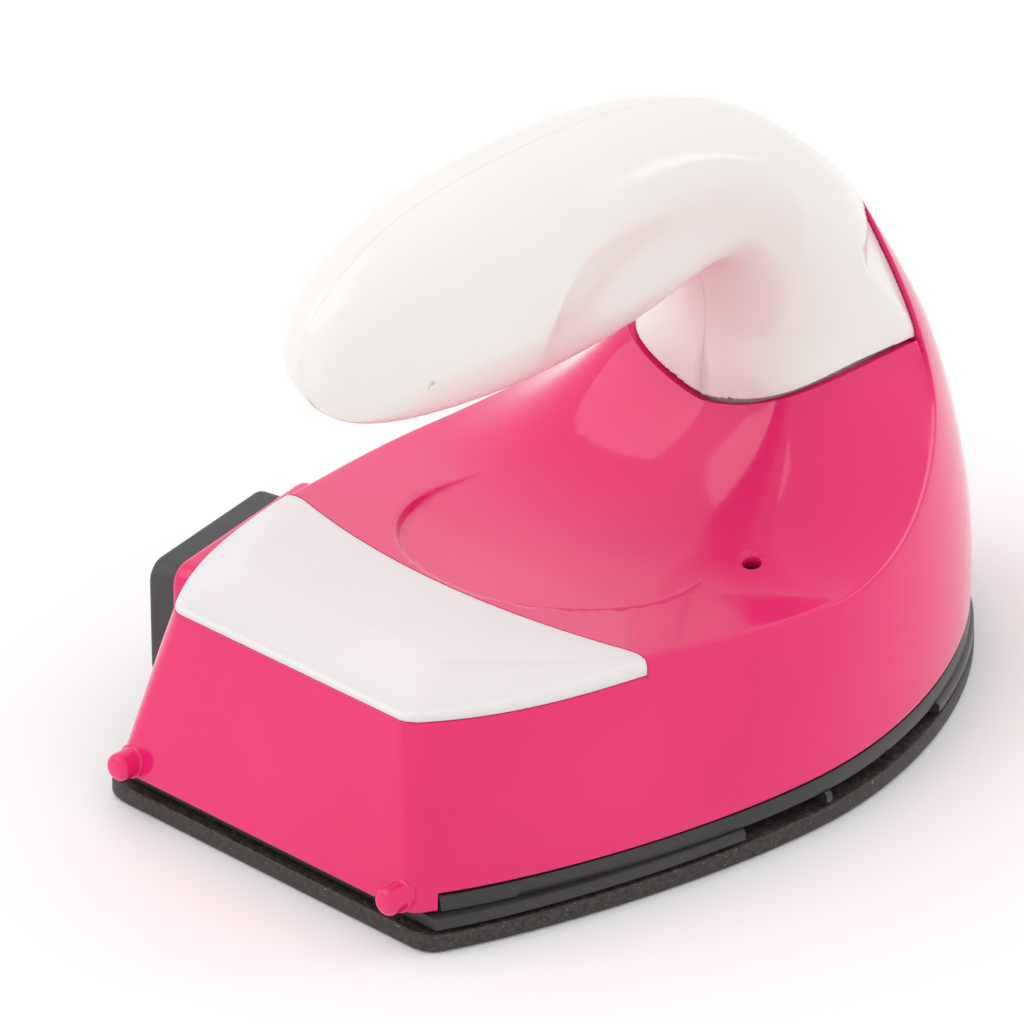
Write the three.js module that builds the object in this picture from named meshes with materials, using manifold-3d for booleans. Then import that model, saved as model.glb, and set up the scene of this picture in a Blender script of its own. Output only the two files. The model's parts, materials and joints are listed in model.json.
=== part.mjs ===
// Miniature electric craft iron: heated soleplate, heat-resistant base frame, glossy housing
// with a scooped deck and a rising hood, and a two-shell cantilevered handle.
// Units are millimetres. +X points to the nose, +Y to the left flank, +Z up. The working
// face of the soleplate lies in Z = 0 and Y = 0 is the plane of symmetry.
import * as THREE from 'three';
import { mergeVertices } from 'three/addons/utils/BufferGeometryUtils.js';
import Module from 'manifold-3d';

const wasm = await Module();
wasm.setup();

// ---------------------------------------------------------------- driving dimensions
const NOSE_X = 50; // front of the soleplate
const HEEL_X = -49.4; // rear edge of the soleplate
const HEEL_HALF = 23.6; // half width of the soleplate at the heel
const HOUSING_HEEL_HALF = 21.4; // half width of the housing there, at its lower edge
const SOLE_HALF = 35; // greatest half width of the soleplate
const SOLE_T = 2.2; // soleplate thickness
const FRAME_BOTTOM = 3.1;
const FRAME_TOP = 5.7;
const SKIRT_Z = 6; // lower edge of the housing along the flanks
const HEEL_SKIRT_Z = 4.3; // lower edge of the housing across the heel
const HOOD_TOP = 49.4; // highest point of the housing's hood
const WALL = 1.8; // housing wall
const SHELL_WALL = 2; // handle wall
const GAP = 0.3; // clearance between pieces that rest on each other
const LENS_SEAT_Z = 23.4; // lower edge of the lens at the heel
const DISH_X = -4.5; // centre of the shallow round dish in the deck
const DISH_R = 17.5;
const DISH_DEPTH = 0.7;
const PEEP_HOLE = { x: 6.4, y: -18, r: 1.25 };
const NUB = { y: 20, z: 5.8, r: 1.55, length: 3.2 };
const NECK = { x: 33, a: 15.7, b: 14.5, power: 5 }; // blunt plan outline where the handle's neck meets the deck
const FLARE = 22; // how far the deck's cove reaches out from the neck
const RIM_LOW = { x: 36.5, z: 36.8 }; // two points of the hood's rear plane
const RIM_HIGH = { x: 41.1, z: 49.2 };
const INLET = { x: -25.8, y: 24, z: 14.6, turn: 0.185, w: 22, h: 14.4, out: 7.15, in: 8 };
const FRAME_SCREWS = [[-41, 19.5], [27, 21]]; // mirrored to both sides
const SOLE_SCREWS = [[43, 0], [-43, 13.5], [-43, -13.5]];
const HANDLE_SCREWS = [[-28, 59.5], [-2, 58.5], [27, 52]];
const NECK_SCREW = { x: 28, y: 6.6 };
const HEATER = { x: 9, length: 30, width: 15, z: 3.5, height: 5.6 };
const THERMOSTAT_X = -20;
const FUSE = { x: -32.5, z: 5, half: 5, footX: -37.6 };

// ---------------------------------------------------------------- materials
const colours = {
  coatedMetal: ['#4d4544', 0.55, 0.4],
  heatPlastic: ['#2b292c', 0.4, 0],
  pinkPlastic: ['#e8336d', 0.2, 0],
  whitePlastic: ['#ece8e3', 0.25, 0],
  lensPlastic: ['#f4eef0', 0.3, 0],
  inletPlastic: ['#3c3d40', 0.5, 0],
  steel: ['#b4b6b8', 0.35, 1],
  aluminium: ['#c9cbce', 0.4, 1],
  brass: ['#c9a24c', 0.35, 1],
  ceramic: ['#e6e2d8', 0.6, 0],
  phenolic: ['#3a2d26', 0.6, 0],
  boardGreen: ['#2f6b45', 0.5, 0],
  redLed: ['#d8261c', 0.2, 0],
  redWire: ['#b3261e', 0.5, 0],
  blueWire: ['#2a4fa0', 0.5, 0],
};
const material = (key) => {
  const [color, roughness, metalness] = colours[key];
  return new THREE.MeshStandardMaterial({ color, roughness, metalness });
};

// ---------------------------------------------------------------- solids
function toSolid(geometry) {
  const bare = (geometry.index ? geometry : geometry.clone()).clone();
  for (const name of Object.keys(bare.attributes)) {
    if (name !== 'position') bare.deleteAttribute(name);
  }
  const merged = mergeVertices(bare, 1e-4);
  return new wasm.Manifold(new wasm.Mesh({
    numProp: 3,
    vertProperties: Float32Array.from(merged.attributes.position.array),
    triVerts: Uint32Array.from(merged.index.array),
  }));
}

function toGeometry(solid) {
  const mesh = solid.getMesh();
  const geometry = new THREE.BufferGeometry();
  geometry.setAttribute('position', new THREE.BufferAttribute(mesh.vertProperties, 3));
  geometry.setIndex(new THREE.BufferAttribute(mesh.triVerts, 1));
  geometry.computeVertexNormals();
  return geometry;
}

const root = new THREE.Group();

function addPiece(name, shape, colour) {
  const geometry = shape.isBufferGeometry ? shape : toGeometry(shape);
  const mesh = new THREE.Mesh(geometry, material(colour));
  mesh.name = name;
  root.add(mesh);
  return mesh;
}

const moved = (geometry, x, y, z) => geometry.translate(x, y, z);

const box = (x0, x1, y0, y1, z0, z1) => toSolid(
  moved(new THREE.BoxGeometry(x1 - x0, y1 - y0, z1 - z0), (x0 + x1) / 2, (y0 + y1) / 2, (z0 + z1) / 2));

// A cylinder along Z from z0 to z1.
function pillar(x, y, r, z0, z1, sides = 20) {
  const shape = new THREE.CylinderGeometry(r, r, z1 - z0, sides).rotateX(Math.PI / 2);
  return toSolid(moved(shape, x, y, (z0 + z1) / 2));
}

// A cylinder along Y from y0 to y1.
function crossPin(x, z, r, y0, y1, sides = 20) {
  return toSolid(moved(new THREE.CylinderGeometry(r, r, y1 - y0, sides), x, (y0 + y1) / 2, z));
}

// A closed skin through rings of equal point counts, each end closed by a fan.
function loft(rings) {
  const count = rings[0].length;
  const positions = rings.flat().flatMap((p) => [p.x, p.y, p.z]);
  const faces = [];
  for (let row = 0; row + 1 < rings.length; row += 1) {
    for (let i = 0; i < count; i += 1) {
      const a = row * count + i;
      const b = row * count + ((i + 1) % count);
      faces.push(a, b, b + count, a, b + count, a + count);
    }
  }
  for (const [row, flip] of [[0, true], [rings.length - 1, false]]) {
    const centre = rings[row].reduce((sum, p) => sum.add(p), new THREE.Vector3());
    centre.divideScalar(count);
    const hub = positions.length / 3;
    positions.push(centre.x, centre.y, centre.z);
    for (let i = 0; i < count; i += 1) {
      const a = row * count + i;
      const b = row * count + ((i + 1) % count);
      if (flip) faces.push(hub, b, a);
      else faces.push(hub, a, b);
    }
  }
  const geometry = new THREE.BufferGeometry();
  geometry.setAttribute('position', new THREE.Float32BufferAttribute(positions, 3));
  geometry.setIndex(faces);
  return toSolid(geometry);
}

const mix = (a, b, t) => a + (b - a) * t;
const clamp01 = (t) => Math.min(1, Math.max(0, t));
const smooth = (a, b, v) => {
  const t = clamp01((v - a) / (b - a));
  return t * t * (3 - 2 * t);
};

// ---------------------------------------------------------------- plan outlines
// Value at height z of a size given at three heights: the skirt, the deck and the hood.
function atHeight(z, low, middle, high) {
  const t = (z - SKIRT_Z) / (HOOD_TOP - SKIRT_Z);
  const m = 0.41;
  return low * ((t - m) * (t - 1)) / m
    + middle * (t * (t - 1)) / (m * (m - 1))
    + high * (t * (t - m)) / (1 - m);
}

// Half of the horizontal outline at height z, from the heel corner to the nose.
function halfOutline(z, inset, flankSteps, noseSteps, heelHalfLow = HOUSING_HEEL_HALF) {
  const heelX = mix(HEEL_X, -45.4, (z - SKIRT_Z) / 17.8) + inset;
  const heelHalf = mix(heelHalfLow, 17.1, (z - SKIRT_Z) / 17.8) - inset;
  const half = atHeight(z, SOLE_HALF, 29.4, 17) - inset;
  const wideX = atHeight(z, 0, 6, 8);
  const nose = atHeight(z, NOSE_X, 49.8, 41.3) - inset;
  const blunt = atHeight(z, 20, 17, 3) - inset * 0.5;
  const flank = new THREE.CubicBezierCurve(
    new THREE.Vector2(heelX, heelHalf),
    new THREE.Vector2(mix(heelX, wideX, 0.23), mix(heelHalf, half, 0.56)),
    new THREE.Vector2(mix(heelX, wideX, 0.7), half),
    new THREE.Vector2(wideX, half));
  const bow = new THREE.CubicBezierCurve(
    new THREE.Vector2(wideX, half),
    new THREE.Vector2(mix(wideX, nose, 0.44), half),
    new THREE.Vector2(nose, blunt),
    new THREE.Vector2(nose, 0));
  return [...flank.getPoints(flankSteps), ...bow.getPoints(noseSteps).slice(1)];
}

function fullOutline(z, inset, flankSteps, noseSteps, heelHalfLow) {
  const left = halfOutline(z, inset, flankSteps, noseSteps, heelHalfLow);
  const right = left.slice(0, -1).reverse().map((p) => new THREE.Vector2(p.x, -p.y));
  return [...right.reverse(), ...left.reverse()];
}

function outlineRing(z, inset, flankSteps, noseSteps) {
  return fullOutline(z, inset, flankSteps, noseSteps).map((p) => new THREE.Vector3(p.x, p.y, z));
}

// A ring at height z with the soleplate's plan.
function soleRing(z, inset, steps) {
  return fullOutline(SKIRT_Z, inset, steps, steps + 2, HEEL_HALF)
    .map((p) => new THREE.Vector3(p.x, p.y, z));
}

// A slab with the soleplate's plan.
const slab = (z0, z1, inset, steps = 8) => loft([z0, z1].map((z) => soleRing(z, inset, steps)));

// The body that the housing's outer walls enclose, shrunk by an inset.
function wallBody(inset, z0, z1, rows) {
  const heights = Array.from({ length: rows + 1 }, (_, i) => mix(z0, z1, i / rows));
  return loft(heights.map((z) => outlineRing(z, inset, 9, 10)));
}

// ---------------------------------------------------------------- deck
// Height of the scooped deck, with the cove that sweeps up around the neck.
function deckHeight(x, y) {
  const base = 22 + 4.2 * Math.max(0, (10 - x) / 46) ** 1.5;
  const dx = x - NECK.x;
  const rho = ((Math.abs(dx) / NECK.a) ** NECK.power + (Math.abs(y) / NECK.b) ** NECK.power) ** (1 / NECK.power);
  const seat = (across) => 31.4 + 5.4 * Math.min(1, Math.abs(across) / NECK.b) ** 1.5;
  if (rho <= 1) return seat(y);
  const out = Math.hypot(dx, y) * (1 - 1 / rho);
  return base + (seat(y / rho) - base) * clamp01(1 - out / FLARE) ** 2;
}

// Everything above the surface z = height(x, y), over the plan rectangle of the housing.
function regionAbove(height, x0, x1, half, step, top) {
  const nx = Math.round((x1 - x0) / step);
  const ny = 2 * Math.round(half / step);
  const rows = [];
  const cap = [];
  for (let i = 0; i <= nx; i += 1) {
    const x = mix(x0, x1, i / nx);
    rows.push([]);
    cap.push([]);
    for (let j = 0; j <= ny; j += 1) {
      const y = mix(-half, half, j / ny);
      rows[i].push(new THREE.Vector3(x, y, height(x, y)));
      cap[i].push(new THREE.Vector3(x, y, top));
    }
  }
  const positions = [...rows.flat(), ...cap.flat()].flatMap((p) => [p.x, p.y, p.z]);
  const at = (i, j, layer) => layer * (nx + 1) * (ny + 1) + i * (ny + 1) + j;
  const faces = [];
  const quad = (a, b, c, d) => faces.push(a, b, c, a, c, d);
  for (let i = 0; i < nx; i += 1) {
    for (let j = 0; j < ny; j += 1) {
      quad(at(i, j, 0), at(i, j + 1, 0), at(i + 1, j + 1, 0), at(i + 1, j, 0));
      quad(at(i, j, 1), at(i + 1, j, 1), at(i + 1, j + 1, 1), at(i, j + 1, 1));
    }
  }
  for (let i = 0; i < nx; i += 1) {
    quad(at(i, 0, 0), at(i + 1, 0, 0), at(i + 1, 0, 1), at(i, 0, 1));
    quad(at(i + 1, ny, 0), at(i, ny, 0), at(i, ny, 1), at(i + 1, ny, 1));
  }
  for (let j = 0; j < ny; j += 1) {
    quad(at(0, j + 1, 0), at(0, j, 0), at(0, j, 1), at(0, j + 1, 1));
    quad(at(nx, j, 0), at(nx, j + 1, 0), at(nx, j + 1, 1), at(nx, j, 1));
  }
  const geometry = new THREE.BufferGeometry();
  geometry.setAttribute('position', new THREE.Float32BufferAttribute(positions, 3));
  geometry.setIndex(faces);
  return toSolid(geometry);
}

// A prism of a side outline given as [x, z] points, from y0 to y1.
function sidePrism(points, y0, y1) {
  const shape = new THREE.Shape(points.map(([x, z]) => new THREE.Vector2(x, z)));
  const geometry = new THREE.ExtrudeGeometry(shape, { depth: y1 - y0, bevelEnabled: false });
  return toSolid(geometry.rotateX(Math.PI / 2).translate(0, y1, 0));
}

// A prism of a plan outline given as [x, y] points, from z0 to z1.
function planPrism(points, z0, z1) {
  const shape = new THREE.Shape(points.map(([x, y]) => new THREE.Vector2(x, y)));
  const geometry = new THREE.ExtrudeGeometry(shape, { depth: z1 - z0, bevelEnabled: false });
  return toSolid(geometry.translate(0, 0, z0));
}

// Everything behind the hood's rear plane, moved forward by shift.
function behindHood(shift) {
  const slope = (RIM_HIGH.x - RIM_LOW.x) / (RIM_HIGH.z - RIM_LOW.z);
  const planeX = (z) => RIM_LOW.x + (z - RIM_LOW.z) * slope + shift;
  return sidePrism([[-70, 10], [planeX(10), 10], [planeX(95), 95], [-70, 95]], -60, 60);
}

// The space above the deck and behind the hood; lift raises it, shift moves it forward.
function openAir(lift, shift, step) {
  const above = regionAbove((x, y) => deckHeight(x, y) + lift, -60, 60, 42, step, 90);
  return above.intersect(behindHood(shift));
}

// ---------------------------------------------------------------- lens region
const LENS_FRONT = { x: -22.8, bow: 4.3, half: 26 };
const lensFrontX = (y) => LENS_FRONT.x + LENS_FRONT.bow * (y / LENS_FRONT.half) ** 2;

function lensRegion(grow) {
  const front = Array.from({ length: 15 }, (_, i) => {
    const y = mix(-31, 31, i / 14);
    return [lensFrontX(y) + grow, y];
  });
  const plan = planPrism([[-60, -31], ...front, [-60, 31]], 15, 40);
  const seat = (x) => LENS_SEAT_Z - 0.0366 * (x + 45.6) - grow;
  return plan.intersect(sidePrism([[-60, seat(-60)], [0, seat(0)], [0, 38], [-60, 38]], -40, 40));
}

// Height of the lens: a sloping shoulder around the heel and flanks, then the deck's scoop.
function lensHeight(x, y, inset) {
  const outline = halfOutline(LENS_SEAT_Z, 0, 10, 4);
  let flank = outline[0].y;
  for (let i = 0; i + 1 < outline.length; i += 1) {
    const [p, q] = [outline[i], outline[i + 1]];
    if (x >= p.x && x <= q.x) flank = mix(p.y, q.y, (x - p.x) / (q.x - p.x));
  }
  const fromHeel = x - outline[0].x;
  const fromFlank = flank - Math.abs(y);
  const shoulder = LENS_SEAT_Z + 0.5 + 0.32 * Math.min(fromHeel, fromFlank);
  return Math.min(deckHeight(x, y), shoulder) - inset;
}

// ---------------------------------------------------------------- soleplate and frame
function makeSoleplate() {
  const plate = loft([[0, 0.5], [0.5, 0], [1.7, 0], [SOLE_T, 0.5]].map(
    ([z, inset]) => soleRing(z, inset, 9)));
  let solid = plate;
  const bosses = [
    ...SOLE_SCREWS.map(([x, y]) => [x, y, 3, FRAME_BOTTOM - GAP]),
    [HEATER.x, 14, 2.8, 4], [HEATER.x, -14, 2.8, 4],
    [THERMOSTAT_X, 11.5, 2.8, 4], [THERMOSTAT_X, -11.5, 2.8, 4],
    [FUSE.footX, 0, 2.4, 4],
  ];
  for (const [x, y, r, top] of bosses) {
    solid = solid.add(pillar(x, y, r, SOLE_T - 0.2, top, 12));
  }
  const half = { x: HEATER.length / 2 + 1, y: HEATER.width / 2 + 1 };
  solid = solid.add(box(HEATER.x - half.x, HEATER.x + half.x, -half.y, half.y, 2, 3.2));
  solid = solid.add(pillar(THERMOSTAT_X, 0, 8.6, 2, 3.2, 24));
  for (const [x, y] of bosses) {
    solid = solid.subtract(pillar(x, y, 1.3, 0.8, 6, 8));
  }
  return solid;
}

function makeBaseFrame() {
  let solid = slab(FRAME_BOTTOM, 4, 0.4, 8).add(slab(3.8, FRAME_TOP, 1.2, 8));
  solid = solid.add(slab(5.5, 8.8, 2.4, 8));
  solid = solid.subtract(slab(5.7, 9.5, 4, 8));
  solid = solid.subtract(slab(2, 9.5, 10.5, 8));
  // long vent slots under both flanks, split by short posts
  for (const side of [-1, 1]) {
    for (const [x, length] of [[-6.4, 11], [5.2, 10.6], [16.6, 9.8]]) {
      const turn = x < 0 ? 0 : x < 10 ? -0.05 : -0.2;
      const slot = new THREE.BoxGeometry(length, 7, 1.1);
      const y = halfWidthAt(x) - 2;
      slot.rotateZ(turn * side).translate(x, y * side, FRAME_BOTTOM + 0.25);
      solid = solid.subtract(toSolid(slot));
    }
    for (const [x, y] of FRAME_SCREWS) {
      solid = solid.add(pillar(x, y * side, 3.4, FRAME_BOTTOM + 0.6, FRAME_TOP, 16));
      solid = solid.subtract(pillar(x, y * side, 1.5, 2, 9, 12));
      solid = solid.subtract(pillar(x, y * side, 2.6, 2, 4.6, 16));
    }
    solid = solid.add(pillar(-42, 8 * side, 2.2, FRAME_TOP - 0.4, 16, 12));
    solid = solid.subtract(pillar(-42, 8 * side, 1, 11, 17, 10));
  }
  for (const [x, y] of SOLE_SCREWS) {
    solid = solid.subtract(pillar(x, y, 1.5, 2, 9, 12));
  }
  solid = solid.subtract(box(-60, -46.4, -60, 60, 2, 10));
  solid = solid.subtract(inletBlock(INLET.w + 0.8, INLET.h + 0.8, -12, 12, 2.3));
  return solid.subtract(pillar(FUSE.footX, 0, 3.2, 2, 10, 16));
}

// Half width of the soleplate's plan at x.
function halfWidthAt(x) {
  const outline = halfOutline(SKIRT_Z, 0, 24, 24);
  const next = outline.findIndex((p) => p.x >= x);
  const [p, q] = [outline[Math.max(0, next - 1)], outline[next]];
  return mix(p.y, q.y, (x - p.x) / Math.max(1e-6, q.x - p.x));
}

// ---------------------------------------------------------------- housing
function inletPlaced(geometry) {
  return toSolid(geometry.rotateZ(INLET.turn).translate(INLET.x, INLET.y, INLET.z));
}

// A block with rounded corners in the inlet's own axes: x along the flank, y outward.
function inletBlock(width, height, y0, y1, radius) {
  const [hx, hz] = [width / 2, height / 2];
  const shape = new THREE.Shape();
  shape.absarc(hx - radius, hz - radius, radius, 0, Math.PI / 2);
  shape.absarc(-hx + radius, hz - radius, radius, Math.PI / 2, Math.PI);
  shape.absarc(-hx + radius, -hz + radius, radius, Math.PI, 1.5 * Math.PI);
  shape.absarc(hx - radius, -hz + radius, radius, 1.5 * Math.PI, 2 * Math.PI);
  const options = { depth: y1 - y0, bevelEnabled: false, curveSegments: 3 };
  return inletPlaced(new THREE.ExtrudeGeometry(shape, options).rotateX(Math.PI / 2).translate(0, y1, 0));
}

function makeHousing() {
  const full = wallBody(0, HEEL_SKIRT_Z, HOOD_TOP, 7).subtract(openAir(0, 0, 4));
  let solid = full;
  const cavity = wallBody(WALL, 2, HOOD_TOP - 2.4, 4).subtract(openAir(-WALL, WALL * 1.3, 7.5));
  const collar = inletBlock(INLET.w + 3.8, INLET.h + 3.2, -2.5, INLET.out - 4.35, 2.6);
  solid = solid.add(collar).subtract(cavity.subtract(collar));
  // screw bosses that hang from the deck down to the frame
  for (const side of [-1, 1]) {
    for (const [x, y] of FRAME_SCREWS) {
      const top = x < 0 ? 19.5 : deckHeight(x, y) - WALL / 2;
      const boss = pillar(x, y * side, 3, SKIRT_Z + 0.1, top, 12);
      solid = solid.add(boss.intersect(full));
      solid = solid.subtract(pillar(x, y * side, 1.3, 5, 16, 12));
    }
  }
  solid = solid.subtract(box(-46.8, 70, -60, 60, 0, SKIRT_Z));
  solid = solid.subtract(slab(5, 9.1, 2.1, 7).subtract(slab(4, 10, 4.3, 7)));
  solid = solid.subtract(lensRegion(0.15));
  solid = solid.subtract(inletBlock(INLET.w + 0.6, INLET.h + 0.6, -12, 12, 2.3));
  // dish: its step is full at the rear and fades out towards the neck
  const dishFloor = (x, y) => deckHeight(x, y) - DISH_DEPTH * (1 - smooth(-12, 2, x));
  const dish = regionAbove(dishFloor, DISH_X - 21, DISH_X + 21, 21, 3.5, 40);
  solid = solid.subtract(dish.intersect(pillar(DISH_X, 0, DISH_R, 15, 60, 32)));
  solid = solid.subtract(pillar(PEEP_HOLE.x, PEEP_HOLE.y, PEEP_HOLE.r, 12, 40, 16));
  for (const side of [-1, 1]) {
    solid = solid.subtract(pillar(NECK_SCREW.x, NECK_SCREW.y * side, 1.6, 20, 50, 12));
    solid = solid.add(makeNub(side));
  }
  return solid;
}

function makeNub(side) {
  const tip = 1.2;
  const profile = [[0, 0], [NUB.r, 0], [NUB.r, NUB.length - tip + 2]];
  for (let i = 1; i <= 2; i += 1) {
    const turn = (i / 2) * (Math.PI / 2);
    profile.push([(NUB.r - tip) + tip * Math.cos(turn), NUB.length - tip + 2 + tip * Math.sin(turn)]);
  }
  profile.push([0, NUB.length + 2]);
  const points = profile.map(([r, h]) => new THREE.Vector2(r, h));
  const shape = new THREE.LatheGeometry(points, 10).rotateZ(Math.PI / 2);
  return toSolid(moved(shape, -47.6, NUB.y * side, NUB.z));
}

function makeLens() {
  const body = wallBody(0.05, 20, 34, 3).intersect(lensRegion(-0.15));
  let solid = body.subtract(regionAbove((x, y) => lensHeight(x, y, 0), -60, 0, 36, 2.6, 50));
  const cavity = wallBody(2, 18, 34, 3).intersect(lensRegion(-1.8).translate([0, 0, -4]));
  solid = solid.subtract(cavity.subtract(
    regionAbove((x, y) => lensHeight(x, y, 1.5), -60, 0, 36, 6, 50)));
  return solid;
}

// ---------------------------------------------------------------- handle
// Stations along the handle: underside point, top point (x, z each) and half width.
const HANDLE_STATIONS = [
  [-43.0, 57.6, -43.0, 58.2, 0.3],
  [-42.4, 54.6, -42.3, 61.5, 3.8],
  [-40.2, 51.2, -40.0, 65.0, 6.3],
  [-36.4, 48.8, -36.2, 67.5, 8.1],
  [-30.0, 47.2, -30.0, 69.4, 9.7],
  [-20.0, 46.3, -20.0, 70.7, 10.9],
  [-10.0, 46.2, -9.5, 71.2, 11.4],
  [-1.5, 46.6, 0.0, 70.9, 11.4],
  [5.5, 47.9, 9.0, 69.6, 11.2],
  [10.6, 49.5, 17.5, 67.2, 10.8],
  [14.0, 50.2, 25.0, 63.4, 10.8],
  [16.0, 49.0, 31.2, 58.4, 11.2],
  [17.2, 46.4, 37.4, 53.0, 11.8],
  [18.0, 42.8, 42.6, 47.8, 12.6],
  [18.1, 38.6, 45.6, 39.5, 13.8],
  [17.7, 34.0, 47.0, 33.0, 14.2],
  [17.6, 28.0, 48.0, 27.0, 14.2],
];
const GRIP = { x: 4, z: 57, reach: 16, depth: 3 }; // finger scallop on both sides

// Place on a section at an angle around it, as shares of its arm and of its half width:
// round along the grip, pointed at the beak and blunt all round where the neck meets the deck.
function sectionPoint(turn, along) {
  const neck = smooth(0.55, 0.85, along);
  const [arm, side] = [Math.cos(turn), Math.sin(turn)];
  const point = 0.15 * neck + 0.65 * Math.exp(-(((along - 0.8) / 0.06) ** 2));
  const foot = smooth(0.78, 0.9, along);
  const power = arm > 0 ? mix(1, 2 / NECK.power, foot) : mix(mix(1, 0.77, neck), 2 / NECK.power, foot);
  const spread = Math.sign(side) * Math.abs(side) ** power;
  if (arm > 0) return [arm ** power, spread * (1 - point * arm ** 2)];
  return [-(Math.abs(arm) ** power), spread];
}

function handleBody(inset, perStation, sides) {
  const curve = (pick) => new THREE.CatmullRomCurve3(
    HANDLE_STATIONS.map(pick), false, 'catmullrom', 0.5);
  const under = curve((s) => new THREE.Vector3(s[0], s[4], s[1]));
  const upper = curve((s) => new THREE.Vector3(s[2], s[4], s[3]));
  const count = (HANDLE_STATIONS.length - 1) * perStation;
  const first = inset > 0 ? perStation * 2 : 0; // the hollow starts behind the tip
  const rings = [];
  for (let i = first; i <= count; i += 1) {
    const low = under.getPoint(i / count);
    const high = upper.getPoint(i / count);
    const mid = low.clone().lerp(high, 0.5);
    const arm = high.clone().sub(low).multiplyScalar(0.5);
    const half = Math.hypot(arm.x, arm.z);
    const keep = (half - inset) / half;
    const ring = [];
    for (let k = 0; k < sides; k += 1) {
      const turn = (k / sides) * Math.PI * 2;
      const [reach, spread] = sectionPoint(turn, i / count);
      const x = mid.x + arm.x * keep * reach;
      const z = mid.z + arm.z * keep * reach;
      const near = Math.hypot(x - GRIP.x, (z - GRIP.z) * 1.25) / GRIP.reach;
      const grip = GRIP.depth * (1 - smooth(0.7, 1.05, near));
      const width = Math.max(0.2, mid.y - inset - grip * Math.sin(turn) ** 2);
      ring.push(new THREE.Vector3(x, width * spread, z));
    }
    rings.push(ring.reverse());
  }
  return loft(rings);
}

function makeHandleShell(side) {
  const outer = handleBody(0, 1, 20).intersect(openAir(0.35, -0.35, 4));
  const cavity = handleBody(SHELL_WALL, 1, 12);
  let solid = outer.subtract(cavity);
  const span = (a, b) => (side > 0 ? [a, b] : [-b, -a]);
  for (const [x, z] of HANDLE_SCREWS) {
    solid = solid.add(crossPin(x, z, 3.3, ...span(0.15, 14)).intersect(outer));
    if (side > 0) {
      solid = solid.subtract(crossPin(x, z, 1.5, -1, 20));
      solid = solid.subtract(crossPin(x, z, 2.6, 4.5, 20));
    } else {
      solid = solid.subtract(crossPin(x, z, 1.3, -8.5, 1));
    }
  }
  const boss = pillar(NECK_SCREW.x, NECK_SCREW.y * side, 3, 28, 45, 16)
    .add(box(NECK_SCREW.x - 1, NECK_SCREW.x + 1, ...span(NECK_SCREW.y, 14), 28, 44));
  solid = solid.add(boss.intersect(outer));
  solid = solid.subtract(pillar(NECK_SCREW.x, NECK_SCREW.y * side, 1.3, 20, 43, 12));
  return solid.intersect(box(-60, 60, ...span(0.15, 20), 20, 90));
}

// ---------------------------------------------------------------- electrics
function makeInletHousing() {
  let solid = inletBlock(INLET.w, INLET.h, -INLET.in, INLET.out, 2);
  solid = solid.subtract(inletBlock(16.4, 7.6, INLET.out - 8.2, INLET.out + 2, 3));
  const groove = inletBlock(INLET.w + 2, INLET.h + 2, -4.6, -3, 1)
    .subtract(inletBlock(INLET.w - 3, INLET.h - 3, -8, 0, 1));
  solid = solid.subtract(groove);
  for (const x of [-4.2, 4.2]) {
    const bore = new THREE.CylinderGeometry(1.4, 1.4, 20, 12).translate(x, -6, 0);
    solid = solid.subtract(inletPlaced(bore));
  }
  return solid;
}

function makeInletPin(x) {
  const profile = [[0, -9.6], [1, -9.6], [1.1, -9.2], [1.1, 4.0], [0.6, 4.8], [0, 4.8]];
  const points = profile.map(([r, h]) => new THREE.Vector2(r, h));
  return inletPlaced(new THREE.LatheGeometry(points, 12).translate(x, 0, 0));
}

// A U-shaped plate that drops into the inlet's groove behind the flank.
function makeInletRetainer() {
  const plate = inletBlock(INLET.w - 0.4, INLET.h - 0.4, -4.3, -3.3, 1);
  const throat = new THREE.BoxGeometry(INLET.w - 2.4, 4, INLET.h + 4).translate(0, -3.8, -3.2);
  return plate.subtract(inletPlaced(throat));
}

// A prism of a cross-section given as [y, z] points, from x0 to x1.
function acrossPrism(points, x0, x1) {
  const shape = new THREE.Shape(points.map(([y, z]) => new THREE.Vector2(y, z)));
  const geometry = new THREE.ExtrudeGeometry(shape, { depth: x1 - x0, bevelEnabled: false });
  geometry.rotateX(Math.PI / 2).rotateZ(Math.PI / 2);
  return toSolid(geometry.translate(x0, 0, 0));
}

function addHeater() {
  const { x, length, width, z, height } = HEATER;
  const [x0, x1, half] = [x - length / 2, x + length / 2, width / 2];
  const tube = box(x0, x1, -half, half, z, z + height)
    .subtract(box(x0 - 1, x1 + 1, -half + 1, half - 1, z + 0.8, z + height - 0.8));
  addPiece('heater_case', tube, 'aluminium');
  const stack = [['heater_electrode_lower', 0.4, 'brass'], ['heater_ptc_ceramic', 2, 'ceramic'],
    ['heater_electrode_upper', 0.4, 'brass']];
  let level = z + 0.8 + GAP;
  for (const [name, thick, colour] of stack) {
    const tail = colour === 'brass' ? 4 : -2;
    addPiece(name, box(x0 + 2, x1 + tail, -half + 2, half - 2, level, level + thick), colour);
    level += thick + GAP;
  }
  const top = z + height + GAP;
  const bridge = acrossPrism([[-16.4, 4.3], [-11.4, 4.3], [-8.6, top], [8.6, top], [11.4, 4.3],
    [16.4, 4.3], [16.4, 5.1], [11.9, 5.1], [9.1, top + 0.8], [-9.1, top + 0.8], [-11.9, 5.1],
    [-16.4, 5.1]], x - 3.5, x + 3.5);
  const drilled = [14, -14].reduce((s, y) => s.subtract(pillar(x, y, 1.4, 3, 7, 12)), bridge);
  addPiece('heater_clamp_bridge', drilled, 'steel');
  for (const [name, y] of [['left', 14], ['right', -14]]) {
    addScrew(`heater_clamp_screw_${name}`, x, y, 5.1 + GAP, 4, -1);
  }
}

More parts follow.
